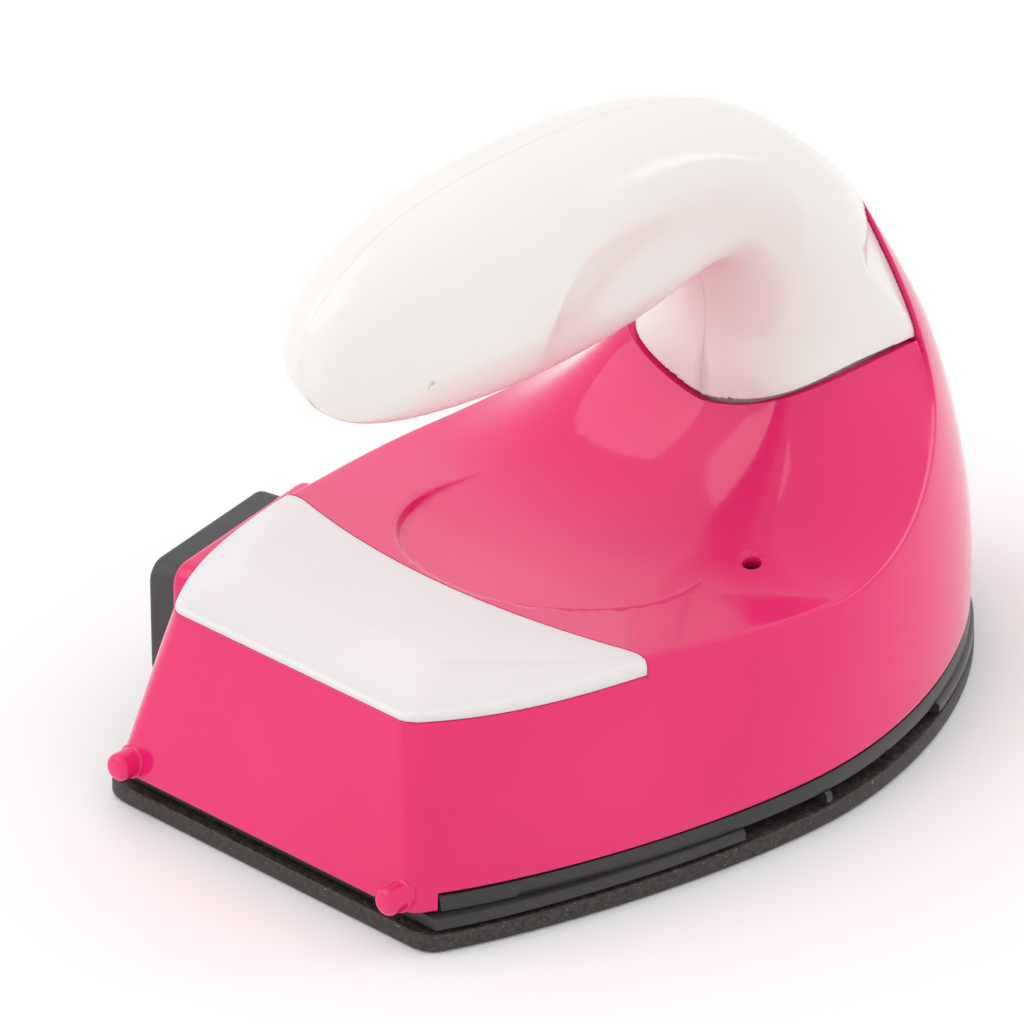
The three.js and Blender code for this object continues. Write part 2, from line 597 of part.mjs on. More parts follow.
// A folded aluminium sheet over the heater, standing on the base frame.
function makeHeatShield() {
  const [half, foot, top, base] = [24.6, 27, 12.2, FRAME_TOP + GAP];
  const fold = acrossPrism([[-foot, base], [-half + 0.6, base], [-half + 0.6, top - 0.6],
    [half - 0.6, top - 0.6], [half - 0.6, base], [foot, base], [foot, base + 0.6],
    [half, base + 0.6], [half, top], [-half, top], [-half, base + 0.6], [-foot, base + 0.6]], -8, 17);
  return [-1, 0, 1].reduce((s, k) => s.subtract(box(2, 10, k * 14 - 2, k * 14 + 2, 10, 14)), fold);
}

// Snap-action thermostat: cap, disc, body, push pin, contact blade, two terminals, flange.
function addThermostat() {
  const x = THERMOSTAT_X;
  const turned = (profile, sides) => toSolid(new THREE.LatheGeometry(
    profile.map(([r, h]) => new THREE.Vector2(r, h)), sides).rotateX(Math.PI / 2).translate(x, 0, 0));
  addPiece('thermostat_cap', turned([[0, 3.5], [8, 3.5], [8, 6.8], [7.4, 6.8], [7.4, 4.1], [0, 4.1]], 28),
    'aluminium');
  addPiece('thermostat_disc', turned([[0, 4.8], [3.4, 4.7], [6.8, 4.4], [6.8, 4.65], [3.4, 4.95],
    [0, 5.05]], 24), 'steel');
  let body = pillar(x, 0, 7, 6, 14, 28);
  body = body.subtract(box(x - 5.8, x + 5.8, -2.8, 2.8, 8.2, 13));
  body = body.subtract(box(x - 9, x - 4, -2.8, 2.8, 8.2, 10.8));
  body = body.subtract(box(x + 4, x + 9, -2.8, 2.8, 8.2, 10.8));
  body = body.subtract(pillar(x, 0, 1.3, 5, 9, 16));
  addPiece('thermostat_body', body, 'phenolic');
  addPiece('thermostat_push_pin', pillar(x, 0, 1, 5.35, 9.05, 16), 'ceramic');
  addPiece('thermostat_contact_blade', box(x - 4.6, x + 5.2, -1.6, 1.6, 9.35, 9.6)
    .add(pillar(x + 4.4, 0, 1, 9.1, 9.5, 12)), 'brass');
  const tab = (side, low) => box(x + side * 8.5 - 5, x + side * 8.5 + 5, -2.4, 2.4, low, low + 0.4);
  addPiece('thermostat_fixed_terminal', tab(1, 8.5), 'brass');
  addPiece('thermostat_blade_terminal', tab(-1, 9.35).subtract(box(x - 4.9, x, -3, 3, 8, 11)), 'brass');
  const flange = pillar(x, 0, 9.6, 7.1, 7.7, 28).add(box(x - 3, x + 3, -14, 14, 7.1, 7.7))
    .subtract(pillar(x, 0, 7.3, 5, 9, 28));
  const feet = [-1, 1].reduce((s, side) => s
    .add(box(x - 3, x + 3, side * 11.5 - 2.6, side * 11.5 + 2.6, 4.3, 7.7))
    .subtract(pillar(x, side * 11.5, 1.4, 3, 9, 12)), flange);
  addPiece('thermostat_flange', feet, 'steel');
  for (const [name, y] of [['left', 11.5], ['right', -11.5]]) {
    addScrew(`thermostat_screw_${name}`, x, y, 7.7 + GAP, 6.8, -1);
  }
}

function addFuse() {
  const { x, z, half, footX } = FUSE;
  addPiece('thermal_fuse', crossPin(x, z, 1.9, -half, half, 18), 'steel');
  const strap = sidePrism([[footX - 2.4, 4.3], [x - 2.9, 4.3], [x - 2.9, 7.2], [x + 2.2, 7.2],
    [x + 2.2, 2.6], [x + 2.9, 2.6], [x + 2.9, 7.9], [x - 3.6, 7.9], [x - 3.6, 5],
    [footX - 2.4, 5]], -1.8, 1.8);
  addPiece('fuse_clip', strap.subtract(pillar(footX, 0, 1.3, 3, 7, 12)), 'steel');
  addScrew('fuse_clip_screw', footX - 0.2, 0, 5 + GAP, 4, -1, 0.9, 1.6);
}

function addIndicator() {
  const [x, base] = [-42, 16 + GAP];
  let board = box(x - 3, x + 5, -12, 12, base, base + 1.2);
  for (const side of [-1, 1]) board = board.subtract(pillar(x, 8 * side, 1.3, 15, 19, 12));
  addPiece('led_board', board, 'boardGreen');
  const dome = [[0, 0], [1.7, 0], [1.7, 0.6], [1.5, 0.6], [1.5, 2.4], [1.1, 3.2], [0.5, 3.6], [0, 3.7]];
  const lamp = new THREE.LatheGeometry(dome.map(([r, h]) => new THREE.Vector2(r, h)), 18);
  addPiece('indicator_led', toSolid(lamp.rotateX(Math.PI / 2).translate(x + 2.4, 0, base + 1.5)), 'redLed');
  addPiece('led_resistor', crossPin(x - 0.9, base + 2.6, 0.9, -3.5, 3, 12), 'phenolic');
  for (const [name, y] of [['left', 8], ['right', -8]]) {
    addScrew(`led_board_screw_${name}`, x, y, base + 1.2 + GAP, 5, -1, 0.85, 1.6);
  }
}

// An insulated lead along a smooth route of points.
function addLead(name, colour, points) {
  const route = new THREE.CatmullRomCurve3(points.map((p) => new THREE.Vector3(...p)));
  const section = new THREE.Shape();
  section.absarc(0, 0, 0.65, 0, Math.PI * 2);
  const options = { extrudePath: route, steps: 14, bevelEnabled: false, curveSegments: 3 };
  addPiece(name, toSolid(new THREE.ExtrudeGeometry(section, options)), colour);
}

function addLeads() {
  addLead('lead_live_to_fuse', 'redWire',
    [[-28.5, 13.2, 14.6], [-30.5, 10, 13.5], [-32, 8.6, 10], [-32.5, 7.4, 6.6], [-32.5, 5.7, 5]]);
  addLead('lead_fuse_to_thermostat', 'redWire',
    [[-32.5, -5.7, 5], [-32.8, -8, 6.5], [-32.5, -7, 9.5], [-31.5, -2.5, 10.8], [-30, 0, 10.9], [-28, 0, 10.9]]);
  addLead('lead_thermostat_to_heater', 'redWire',
    [[-9.5, 0, 9.8], [-8, -3, 13.6], [4, -3, 14.2], [22, -3, 14], [29.5, -2.6, 11], [30, -2.5, 8.9]]);
  addLead('lead_neutral_to_heater', 'blueWire',
    [[-20, 13.5, 14.6], [-14, 12, 15.5], [0, 8, 14.6], [20, 5, 14.2], [31.5, 4, 10.5], [31.8, 3.4, 6.6]]);
}

// ---------------------------------------------------------------- fasteners
// A slotted pan-head screw along Z, its head's seat at z, its shaft towards dir * Z.
function addScrew(name, x, y, z, length, dir, shaftR = 1.05, headR = 2.2) {
  const profile = [[0, -length], [shaftR, -length], [shaftR, 0], [headR, 0], [headR, 0.9],
    [headR * 0.7, 1.4], [0, 1.4]];
  const points = profile.map(([r, h]) => new THREE.Vector2(r, h));
  const turned = toSolid(new THREE.LatheGeometry(points, 10).rotateX(Math.PI / 2));
  const slot = new THREE.BoxGeometry(headR * 3, 0.5, 1.2).translate(0, 0, 1.3);
  const mesh = addPiece(name, turned.subtract(toSolid(slot)), 'steel');
  if (dir > 0) mesh.rotation.x = Math.PI;
  mesh.position.set(x, y, z);
  return mesh;
}

// ---------------------------------------------------------------- assembly
addPiece('soleplate', makeSoleplate(), 'coatedMetal');
addPiece('base_frame', makeBaseFrame(), 'heatPlastic');
addPiece('main_housing', makeHousing(), 'pinkPlastic');
addPiece('indicator_lens', makeLens(), 'lensPlastic');
addPiece('handle_shell_left', makeHandleShell(1), 'whitePlastic');
addPiece('handle_shell_right', makeHandleShell(-1), 'whitePlastic');
addPiece('inlet_housing', makeInletHousing(), 'inletPlastic');
addPiece('inlet_pin_live', makeInletPin(-4.2), 'steel');
addPiece('inlet_pin_neutral', makeInletPin(4.2), 'steel');
addPiece('inlet_retainer', makeInletRetainer(), 'heatPlastic');
addHeater();
addPiece('heat_shield', makeHeatShield(), 'aluminium');
addThermostat();
addFuse();
addIndicator();
addLeads();
for (const [side, word] of [[1, 'left'], [-1, 'right']]) {
  const places = ['rear', 'front'];
  FRAME_SCREWS.forEach(([x, y], i) => {
    addScrew(`frame_screw_${places[i]}_${word}`, x, y * side, 4.6 - GAP, 9, 1);
  });
  addScrew(`neck_screw_${word}`, NECK_SCREW.x, NECK_SCREW.y * side,
    deckHeight(NECK_SCREW.x, NECK_SCREW.y) - WALL - GAP - 0.4, 9, 1);
}
SOLE_SCREWS.forEach(([x, y], i) => {
  addScrew(`sole_screw_${['nose', 'rear_left', 'rear_right'][i]}`, x, y, FRAME_TOP + GAP, 4.9, -1);
});
HANDLE_SCREWS.forEach(([x, z], i) => {
  const mesh = addScrew(`handle_screw_${['tip', 'middle', 'neck'][i]}`, x, 4.5 + GAP, z, 10, -1);
  mesh.rotation.x = -Math.PI / 2;
});

export default root;
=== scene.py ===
"""Miniature craft iron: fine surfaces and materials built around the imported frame.

The frame is in metres. The shape formulas below are in millimetres, in the same axes:
+X to the nose, +Y to the left flank, +Z up, with the sole's working face in Z = 0.
"""
import json
import math

import bmesh
import bpy
import numpy as np
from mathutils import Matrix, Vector, geometry


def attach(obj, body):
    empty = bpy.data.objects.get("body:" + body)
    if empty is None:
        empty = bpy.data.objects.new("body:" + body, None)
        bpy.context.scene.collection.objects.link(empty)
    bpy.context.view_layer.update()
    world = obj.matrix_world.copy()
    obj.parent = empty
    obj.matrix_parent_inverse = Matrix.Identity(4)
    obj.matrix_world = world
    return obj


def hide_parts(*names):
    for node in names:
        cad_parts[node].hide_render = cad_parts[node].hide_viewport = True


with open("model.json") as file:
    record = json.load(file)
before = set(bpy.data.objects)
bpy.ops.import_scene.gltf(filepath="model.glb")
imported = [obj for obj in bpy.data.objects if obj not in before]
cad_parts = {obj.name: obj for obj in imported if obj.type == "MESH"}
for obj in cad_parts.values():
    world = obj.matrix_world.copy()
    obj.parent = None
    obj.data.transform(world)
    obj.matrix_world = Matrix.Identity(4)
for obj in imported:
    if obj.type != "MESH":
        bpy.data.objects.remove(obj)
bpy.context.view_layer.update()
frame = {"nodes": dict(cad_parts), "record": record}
MM = 0.001
BODY = "iron_body"

# ------------------------------------------------------------------ driving dimensions, mm
# sole, base frame and skirt
NOSE_X, HEEL_X, HEEL_HALF, SOLE_HALF, SOLE_T = 50, -49.4, 23.6, 35, 2.2
HOUSING_HEEL_HALF = 21.4
FRAME_TOP, SKIRT_Z, HEEL_SKIRT_Z, HOOD_TOP = 5.7, 6, 4.3, 49.4
SKIRT_STEP_X = -46.83  # behind it the skirt reaches lower

# heel and flanks
HEEL_RISE = 17.8  # the heel's height above the skirt
HEEL_TOP_X, HEEL_TOP_HALF = -45.4, 17.1
HEEL_LEAN = (HEEL_TOP_X - HEEL_X) / HEEL_RISE  # how far the heel leans in per unit of height
SWELL, SWELL_LONG, SWELL_TOP_Z = 1.1, 34, 21  # the flank's extra fullness beside the lens
CORNER = 1.3  # plan radius of the housing's heel corners
RIDGE = 0.6  # radius of the soft edge between the flank and the deck
RIM = 0.45  # radius of the hood's rim

# tail lens
LENS_SEAT_Z, LENS_SEAT_X, LENS_FALL = 23.4, -45.6, 0.0366
LENS_FRONT_X, LENS_ARC, LENS_ARC_Y = -22.8, 4.3, 26
LENS_TIP_Y, LENS_TIP_R, LENS_GAP = 27.9, 4.2, 0.05

# deck: it rises to the rear of DECK_FROM_X, has a round dish and a pilot hole
DECK_Z, DECK_RISE, DECK_FROM_X, DECK_LONG = 22, 4.2, 10, 46
DISH_X, DISH_R, DISH_DEPTH = -4.5, 17.5, 0.85
PEEP_X, PEEP_Y, PEEP_R = 5.1, -18.95, 1.05
GRID = 0.9  # spacing of the deck's points

# neck: a superellipse in plan, its recess, the flare round it and the hood's rear plane
NECK_X, NECK_A, NECK_B, NECK_POWER = 33, 15.7, 14.5, 5
SEAT_Z, SEAT_RISE = 31.4, 5.4
FLARE = 22  # how far out from the neck the deck's flare reaches
RIM_LOW, RIM_HIGH = (36.5, 36.8), (41.1, 49.2)
RIM_SLOPE = (RIM_HIGH[0] - RIM_LOW[0]) / (RIM_HIGH[1] - RIM_LOW[1])

# power inlet and heel nubs
INLET_AT, INLET_TURN = (-25.8, 24, 14.6), 0.185
INLET_W, INLET_H, INLET_OUT = 22, 14.4, 7.15
NUB_Y, NUB_Z, NUB_R, NUB_TIP_X = 20, 5.8, 1.55, -51.9

HEEL_STEPS, CORNER_STEPS = 24, 8  # points across half the heel and round its corner


# ------------------------------------------------------------------ shape formulas
def mix(a, b, t):
    """From a at t = 0 to b at t = 1."""
    return a + (b - a) * t


def smooth(a, b, v):
    """Eases from 0 where v is a to 1 where v is b; b may be the lower of the two."""
    t = np.clip((v - a) / (b - a), 0, 1)
    return t * t * (3 - 2 * t)


def at_height(z, low, middle, high):
    """Value at height z of a size given at the skirt, at 41% and at the hood's top."""
    t, m = (z - SKIRT_Z) / (HOOD_TOP - SKIRT_Z), 0.41
    return (low * ((t - m) * (t - 1)) / m + middle * (t * (t - 1)) / (m * (m - 1))
            + high * (t * (t - m)) / (1 - m))


def soft_min(a, b, soft):
    """The lower of two values, blended where they are closer than soft."""
    h = np.clip(0.5 + 0.5 * (a - b) / soft, 0, 1)
    return mix(a, b, h) - soft * h * (1 - h)


def bezier(points, t):
    """Points on a quadratic or cubic curve."""
    t = np.asarray(t, float)[..., None]
    p = [np.array(q, float) for q in points]
    if len(p) == 3:
        return (1 - t) ** 2 * p[0] + 2 * (1 - t) * t * p[1] + t ** 2 * p[2]
    return ((1 - t) ** 3 * p[0] + 3 * (1 - t) ** 2 * t * p[1]
            + 3 * (1 - t) * t ** 2 * p[2] + t ** 3 * p[3])


def plan_curves(z, inset, heel_half_low):
    """The flank's and the bow's curves of the horizontal outline at height z."""
    up = (z - SKIRT_Z) / HEEL_RISE
    heel_x = mix(HEEL_X, HEEL_TOP_X, up) + inset
    heel_half = mix(heel_half_low, HEEL_TOP_HALF, up) - inset
    half = at_height(z, SOLE_HALF, 29.4, 17) - inset
    wide_x = at_height(z, 0, 6, 8)
    nose = at_height(z, NOSE_X, 49.8, 40.9) - inset
    blunt = at_height(z, 20, 17, 3) + 2 * math.exp(-((z - 37) / 8) ** 2) - inset * 0.5
    flank = [(heel_x, heel_half), (mix(heel_x, wide_x, 0.23), mix(heel_half, half, 0.56)),
             (mix(heel_x, wide_x, 0.7), half), (wide_x, half)]
    bow = [(wide_x, half), (mix(wide_x, nose, 0.44), half), (nose, blunt), (nose, 0)]
    return flank, bow


def half_outline(z, flank_t, bow_t, inset=0.0, heel_half_low=HOUSING_HEEL_HALF, corner=CORNER):
    """Outline points from the middle of the heel round the corner to the nose, y >= 0."""
    flank, bow = plan_curves(z, inset, heel_half_low)
    heel_x, heel_half = flank[0]
    side = bezier(flank, flank_t)
    along = np.clip((side[:, 0] - heel_x) / SWELL_LONG, 0, 1)
    hump = 27 / 4 * along * (1 - along) ** 2  # 1 at a third of the way
    side[:, 1] += SWELL * smooth(SKIRT_Z, SWELL_TOP_Z, z) * hump
    heel = np.stack([np.full(HEEL_STEPS, heel_x),
                     np.linspace(0, heel_half - corner, HEEL_STEPS)], -1)
    turn = bezier([(heel_x, heel_half - corner), (heel_x, heel_half), side[0]],
                  np.linspace(0, 1, CORNER_STEPS + 1)[1:-1])
    return np.vstack([heel, turn, side, bezier(bow, bow_t)])


def neck_seat(y):
    """Height of the recess's edge around the neck."""
    return SEAT_Z + SEAT_RISE * np.minimum(1, np.abs(y) / NECK_B) ** 1.5


def deck_height(x, y):
    """The deck's surface, which flares up to the neck's recess."""
    base = DECK_Z + DECK_RISE * np.maximum(0, (DECK_FROM_X - x) / DECK_LONG) ** 1.5
    dx = x - NECK_X
    power = NECK_POWER
    rho = ((np.abs(dx) / NECK_A) ** power + (np.abs(y) / NECK_B) ** power) ** (1 / power)
    rho = np.maximum(rho, 1e-6)  # 1 on the neck's outline
    out = np.hypot(dx, y) * (1 - 1 / rho)
    flare = base + (neck_seat(y / rho) - base) * np.clip(1 - out / FLARE, 0, 1) ** 2
    return np.where(rho <= 1, neck_seat(y), flare)


def dish_drop(x, y):
    """How far the round dish lies below the deck: full at its rear, fading to the neck."""
    edge = smooth(DISH_R + 0.22, DISH_R - 0.3, np.hypot(x - DISH_X, y))
    return DISH_DEPTH * edge * (1 - smooth(-12, 2, x))


def plane_x(z):
    """Where the hood's rear plane stands at height z."""
    return RIM_LOW[0] + (z - RIM_LOW[1]) * RIM_SLOPE


def lens_front_x(y):
    """The lens's front edge: a shallow arc with its ends rounded off."""
    round_off = np.clip((np.abs(y) - (LENS_TIP_Y - LENS_TIP_R)) / LENS_TIP_R, 0, 0.985)
    arc = LENS_FRONT_X + LENS_ARC * (y / LENS_ARC_Y) ** 2
    return arc - LENS_TIP_R * (1 - np.sqrt(1 - round_off ** 2))


def lens_seat(x):
    """Height of the lens's lower edge, which falls slightly to the front."""
    return LENS_SEAT_Z - LENS_FALL * (x - LENS_SEAT_X)


# ------------------------------------------------------------------ mesh helpers
WELD = 0.004  # points closer than this become one


class Patches:
    """Collects grids and triangles of points in millimetres and welds them to one mesh."""

    def __init__(self):
        self.points, self.faces, self.count = [], [], 0

    def add(self, points, faces):
        self.points.append(np.asarray(points, float).reshape(-1, 3))
        self.faces += [[i + self.count for i in f] for f in faces]
        self.count += len(self.points[-1])

    def grid(self, rows, closed=False):
        """Quads between rows of points; closed joins each row's end to its start."""
        rows = np.asarray(rows, float)
        n, m = rows.shape[:2]
        last = m if closed else m - 1
        faces = [(i * m + j, i * m + (j + 1) % m, (i + 1) * m + (j + 1) % m, (i + 1) * m + j)
                 for i in range(n - 1) for j in range(last)]
        self.add(rows, faces)

    def fan(self, ring):
        """Closes a ring with triangles to its middle."""
        ring = np.asarray(ring, float)
        n = len(ring)
        self.add(np.vstack([ring, ring.mean(0)]), [(i, (i + 1) % n, n) for i in range(n)])

    def build(self, name, material, cut=None, cap=False, thickness=0.0, thin=None, sharp=38):
        """Makes the object. cut is a plane's point and normal, whose front side is removed and,
        with cap, filled. thickness adds a wall inward, except where thin says so."""
        mesh = bpy.data.meshes.new(name)
        mesh.from_pydata([tuple(p) for p in np.vstack(self.points) * MM], [], self.faces)
        bm = bmesh.new()
        bm.from_mesh(mesh)
        bmesh.ops.remove_doubles(bm, verts=bm.verts, dist=WELD * MM)
        loose = [v for v in bm.verts if not v.link_faces]
        bmesh.ops.delete(bm, geom=loose, context="VERTS")
        if cut:
            where, normal = cut
            geom = bm.verts[:] + bm.edges[:] + bm.faces[:]
            made = bmesh.ops.bisect_plane(bm, geom=geom, dist=1e-7, plane_co=Vector(where) * MM,
                                          plane_no=Vector(normal), clear_outer=True)
            if cap:
                edges = [e for e in made["geom_cut"] if isinstance(e, bmesh.types.BMEdge)]
                bmesh.ops.holes_fill(bm, edges=edges)
        bmesh.ops.recalc_face_normals(bm, faces=bm.faces)
        bm.to_mesh(mesh)
        bm.free()
        piece = bpy.data.objects.new(name, mesh)
        bpy.context.scene.collection.objects.link(piece)
        mesh.materials.append(material)
        if thickness:
            shell = piece.modifiers.new("wall", "SOLIDIFY")
            shell.thickness = thickness * MM
            shell.offset = -1
            if thin:
                group = piece.vertex_groups.new(name="wall")
                thick = [v.index for v in mesh.vertices if not thin(v.co / MM)]
                group.add(thick, 1.0, "REPLACE")
                shell.vertex_group = "wall"
                shell.thickness_vertex_group = 0.05
        mesh.shade_smooth()
        mesh.set_sharp_from_angle(angle=math.radians(sharp))
        return piece


def finish_piece(piece, slot, *nodes, body=BODY):
    """Parents the piece to its body's empty and hides the CAD nodes it stands for. slot is not used.
    """
    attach(piece, body)
    if nodes:
        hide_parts(*nodes)
    return piece


def inside(points, loop):
    """Which plan points lie inside a closed loop."""
    x, y = points[:, 0:1], points[:, 1:2]
    a, b = loop, np.roll(loop, -1, axis=0)
    crosses = (a[:, 1] > y) != (b[:, 1] > y)
    rise = np.where(b[:, 1] == a[:, 1], 1e-12, b[:, 1] - a[:, 1])
    at = a[:, 0] + (y - a[:, 1]) * (b[:, 0] - a[:, 0]) / rise
    return (np.sum(crosses & (x < at), axis=1) % 2) == 1


def triangulate(boundary, inner_loops, holes, spacing, clear):
    """Triangles over a plan region with points along its loops and a fine grid between."""
    loops = [boundary] + inner_loops + holes
    rim = np.vstack(loops)
    low, high = boundary.min(0), boundary.max(0)
    rows = np.arange(low[1], high[1], spacing * 0.866)
    filled = []
    for i, y in enumerate(rows):
        xs = np.arange(low[0] + (i % 2) * spacing / 2, high[0], spacing)
        filled.append(np.stack([xs, np.full(len(xs), y)], -1))
    cloud = np.vstack(filled)
    cloud = cloud[inside(cloud, boundary)]
    far = np.min(np.hypot(cloud[:, None, 0] - rim[None, :, 0],
                          cloud[:, None, 1] - rim[None, :, 1]), axis=1) > clear
    cloud = cloud[far]
    verts = [Vector(p) for p in np.vstack([rim, cloud])]
    edges, start = [], 0
    for loop in loops:
        n = len(loop)
        edges += [(start + i, start + (i + 1) % n) for i in range(n)]
        start += n
    points, _, faces, _, _, _ = geometry.delaunay_2d_cdt(verts, edges, [], 0, 1e-6)
    points = np.array([tuple(p) for p in points])
    middle = np.array([points[list(f)].mean(0) for f in faces])
    keep = inside(middle, boundary)
    for hole in holes:
        keep &= ~inside(middle, hole)
    return points, [f for f, k in zip(faces, keep) if k]


def circle(x, y, radius, turn):
    """Plan points of a circle at the angles in turn."""
    return np.column_stack([x + radius * np.cos(turn), y + radius * np.sin(turn)])


def lathe(profile, sides):
    """Rings of a turned shape about +X from (radius, along) points."""
    turn = np.linspace(0, 2 * math.pi, sides, endpoint=False)
    return np.array([[(h, r * math.cos(a), r * math.sin(a)) for a in turn] for r, h in profile])


# ------------------------------------------------------------------ materials
def start_material(name):
    """A new node material: itself, its nodes, its links and its shader."""
    made = bpy.data.materials.new(name)
    made.use_nodes = True
    nodes = made.node_tree.nodes
    return made, nodes, made.node_tree.links, nodes["Principled BSDF"]


def noise(nodes, links, scale, detail=3.0, rough=0.5):
    """Noise over the object's own coordinates, in metres."""
    place = nodes.new("ShaderNodeTexCoord")
    made = nodes.new("ShaderNodeTexNoise")
    made.inputs["Scale"].default_value = scale
    made.inputs["Detail"].default_value = detail
    made.inputs["Roughness"].default_value = rough
    links.new(place.outputs["Object"], made.inputs["Vector"])
    return made.outputs["Fac"]


def ramp(nodes, links, source, low, high, dark, light):
    """A colour from dark, where the source is low, to light, where it is high."""
    made = nodes.new("ShaderNodeValToRGB")
    made.color_ramp.elements[0].position = low
    made.color_ramp.elements[1].position = high
    made.color_ramp.elements[0].color = (*dark, 1)
    made.color_ramp.elements[1].color = (*light, 1)
    links.new(source, made.inputs["Fac"])
    return made.outputs["Color"]


def span(nodes, links, source, low, high, to_low, to_high):
    """A value from to_low, where the source is low, to to_high, where it is high."""
    made = nodes.new("ShaderNodeMapRange")
    made.inputs["From Min"].default_value = low
    made.inputs["From Max"].default_value = high
    made.inputs["To Min"].default_value = to_low
    made.inputs["To Max"].default_value = to_high
    links.new(source, made.inputs["Value"])
    return made.outputs["Result"]


def bump(nodes, links, shader, height, distance):
    made = nodes.new("ShaderNodeBump")
    made.inputs["Distance"].default_value = distance
    made.inputs["Strength"].default_value = 1.0
    links.new(height, made.inputs["Height"])
    links.new(made.outputs["Normal"], shader.inputs["Normal"])


def moulded_plastic(name, dark, light, rough, coat=0.0, glow=0.0, radius=(1, 0.4, 0.4),
                    grain=900.0, depth=4e-6, level=0.5):
    """Moulded plastic: a slow drift of colour, uneven gloss and a very fine surface ripple."""
    made, nodes, links, shader = start_material(name)
    drift = noise(nodes, links, 28.0, 2.0)
    links.new(ramp(nodes, links, drift, 0.35, 0.65, dark, light), shader.inputs["Base Color"])
    wear = noise(nodes, links, 120.0, 3.0, 0.5)
    links.new(span(nodes, links, wear, 0.3, 0.75, rough[0], rough[1]), shader.inputs["Roughness"])
    bump(nodes, links, shader, noise(nodes, links, grain, 4.0), depth)
    shader.inputs["Specular IOR Level"].default_value = level
    shader.inputs["Coat Weight"].default_value = coat
    shader.inputs["Coat Roughness"].default_value = 0.06
    if glow:
        shader.inputs["Subsurface Weight"].default_value = glow
        shader.inputs["Subsurface Radius"].default_value = radius
        shader.inputs["Subsurface Scale"].default_value = 0.002
    return made


def pink_plastic():
    return moulded_plastic("pink_plastic", (0.78, 0.011, 0.138), (0.84, 0.015, 0.160),
                           (0.08, 0.16), coat=0.35, glow=0.06, radius=(1.0, 0.1, 0.3), level=0.35)


def white_plastic():
    """Warm white shell with faint brown marks where it has been handled."""
    made = moulded_plastic("white_plastic", (0.83, 0.795, 0.76), (0.87, 0.835, 0.80),
                           (0.16, 0.26), coat=0.2)
    nodes, links = made.node_tree.nodes, made.node_tree.links
    shader = nodes["Principled BSDF"]
    plain = shader.inputs["Base Color"].links[0].from_socket
    blend = nodes.new("ShaderNodeMix")
    blend.data_type = "RGBA"
    blend.inputs["B"].default_value = (0.30, 0.21, 0.11, 1)
    marks = noise(nodes, links, 420.0, 2.0)
    links.new(span(nodes, links, marks, 0.755, 0.80, 0.0, 0.55), blend.inputs["Factor"])
    links.new(plain, blend.inputs["A"])
    links.new(blend.outputs["Result"], shader.inputs["Base Color"])
    return made


def lens_plastic():
    return moulded_plastic("lens_plastic", (0.80, 0.75, 0.765), (0.84, 0.79, 0.80),
                           (0.16, 0.26), coat=0.2, glow=0.5, radius=(1.0, 0.75, 0.85), depth=2e-6)


def coated_sole():
    """Dark brown-grey coating on cast metal, with fine pale flecks and a pebbled surface."""
    made, nodes, links, shader = start_material("coated_sole")
    grain = noise(nodes, links, 1700.0, 2.0, 0.6)
    base = ramp(nodes, links, grain, 0.35, 0.7, (0.022, 0.018, 0.017), (0.066, 0.054, 0.050))
    fleck = noise(nodes, links, 5200.0, 1.0)
    blend = nodes.new("ShaderNodeMix")
    blend.data_type = "RGBA"
    blend.inputs["B"].default_value = (0.62, 0.58, 0.54, 1)
    links.new(span(nodes, links, fleck, 0.70, 0.78, 0.0, 0.55), blend.inputs["Factor"])
    links.new(base, blend.inputs["A"])
    links.new(blend.outputs["Result"], shader.inputs["Base Color"])
    links.new(span(nodes, links, grain, 0.3, 0.7, 0.38, 0.62), shader.inputs["Roughness"])
    bump(nodes, links, shader, grain, 5e-5)
    shader.inputs["Metallic"].default_value = 0.15
    return made


def heat_plastic():
    return moulded_plastic("heat_plastic", (0.026, 0.024, 0.026), (0.040, 0.037, 0.040),
                           (0.26, 0.42), grain=1400.0, depth=1e-5)


def inlet_plastic():
    return moulded_plastic("inlet_plastic", (0.045, 0.045, 0.048), (0.062, 0.062, 0.066),
                           (0.42, 0.58), grain=2600.0, depth=1.5e-5)


def metal(name, colour, rough):
    """Drawn or brushed metal with fine directional lines."""
    made, nodes, links, shader = start_material(name)
    place = nodes.new("ShaderNodeTexCoord")
    mapping = nodes.new("ShaderNodeMapping")
    mapping.inputs["Scale"].default_value = (1, 1, 30)
    grain = nodes.new("ShaderNodeTexNoise")
    grain.inputs["Scale"].default_value = 160.0
    grain.inputs["Detail"].default_value = 5.0
    links.new(place.outputs["Object"], mapping.inputs["Vector"])
    links.new(mapping.outputs["Vector"], grain.inputs["Vector"])
    dark = tuple(c * 0.8 for c in colour)
    links.new(ramp(nodes, links, grain.outputs["Fac"], 0.3, 0.7, dark, colour),
              shader.inputs["Base Color"])
    links.new(span(nodes, links, grain.outputs["Fac"], 0.3, 0.7, rough * 0.7, rough * 1.2),
              shader.inputs["Roughness"])
    shader.inputs["Metallic"].default_value = 1.0
    bump(nodes, links, shader, grain.outputs["Fac"], 5e-6)
    return made


def floor_material():
    made, nodes, links, shader = start_material("floor")
    tone = noise(nodes, links, 6.0, 2.0)
    links.new(ramp(nodes, links, tone, 0.3, 0.7, (0.955, 0.955, 0.955), (0.975, 0.975, 0.975)),
              shader.inputs["Base Color"])
    shader.inputs["Roughness"].default_value = 0.7
    return made


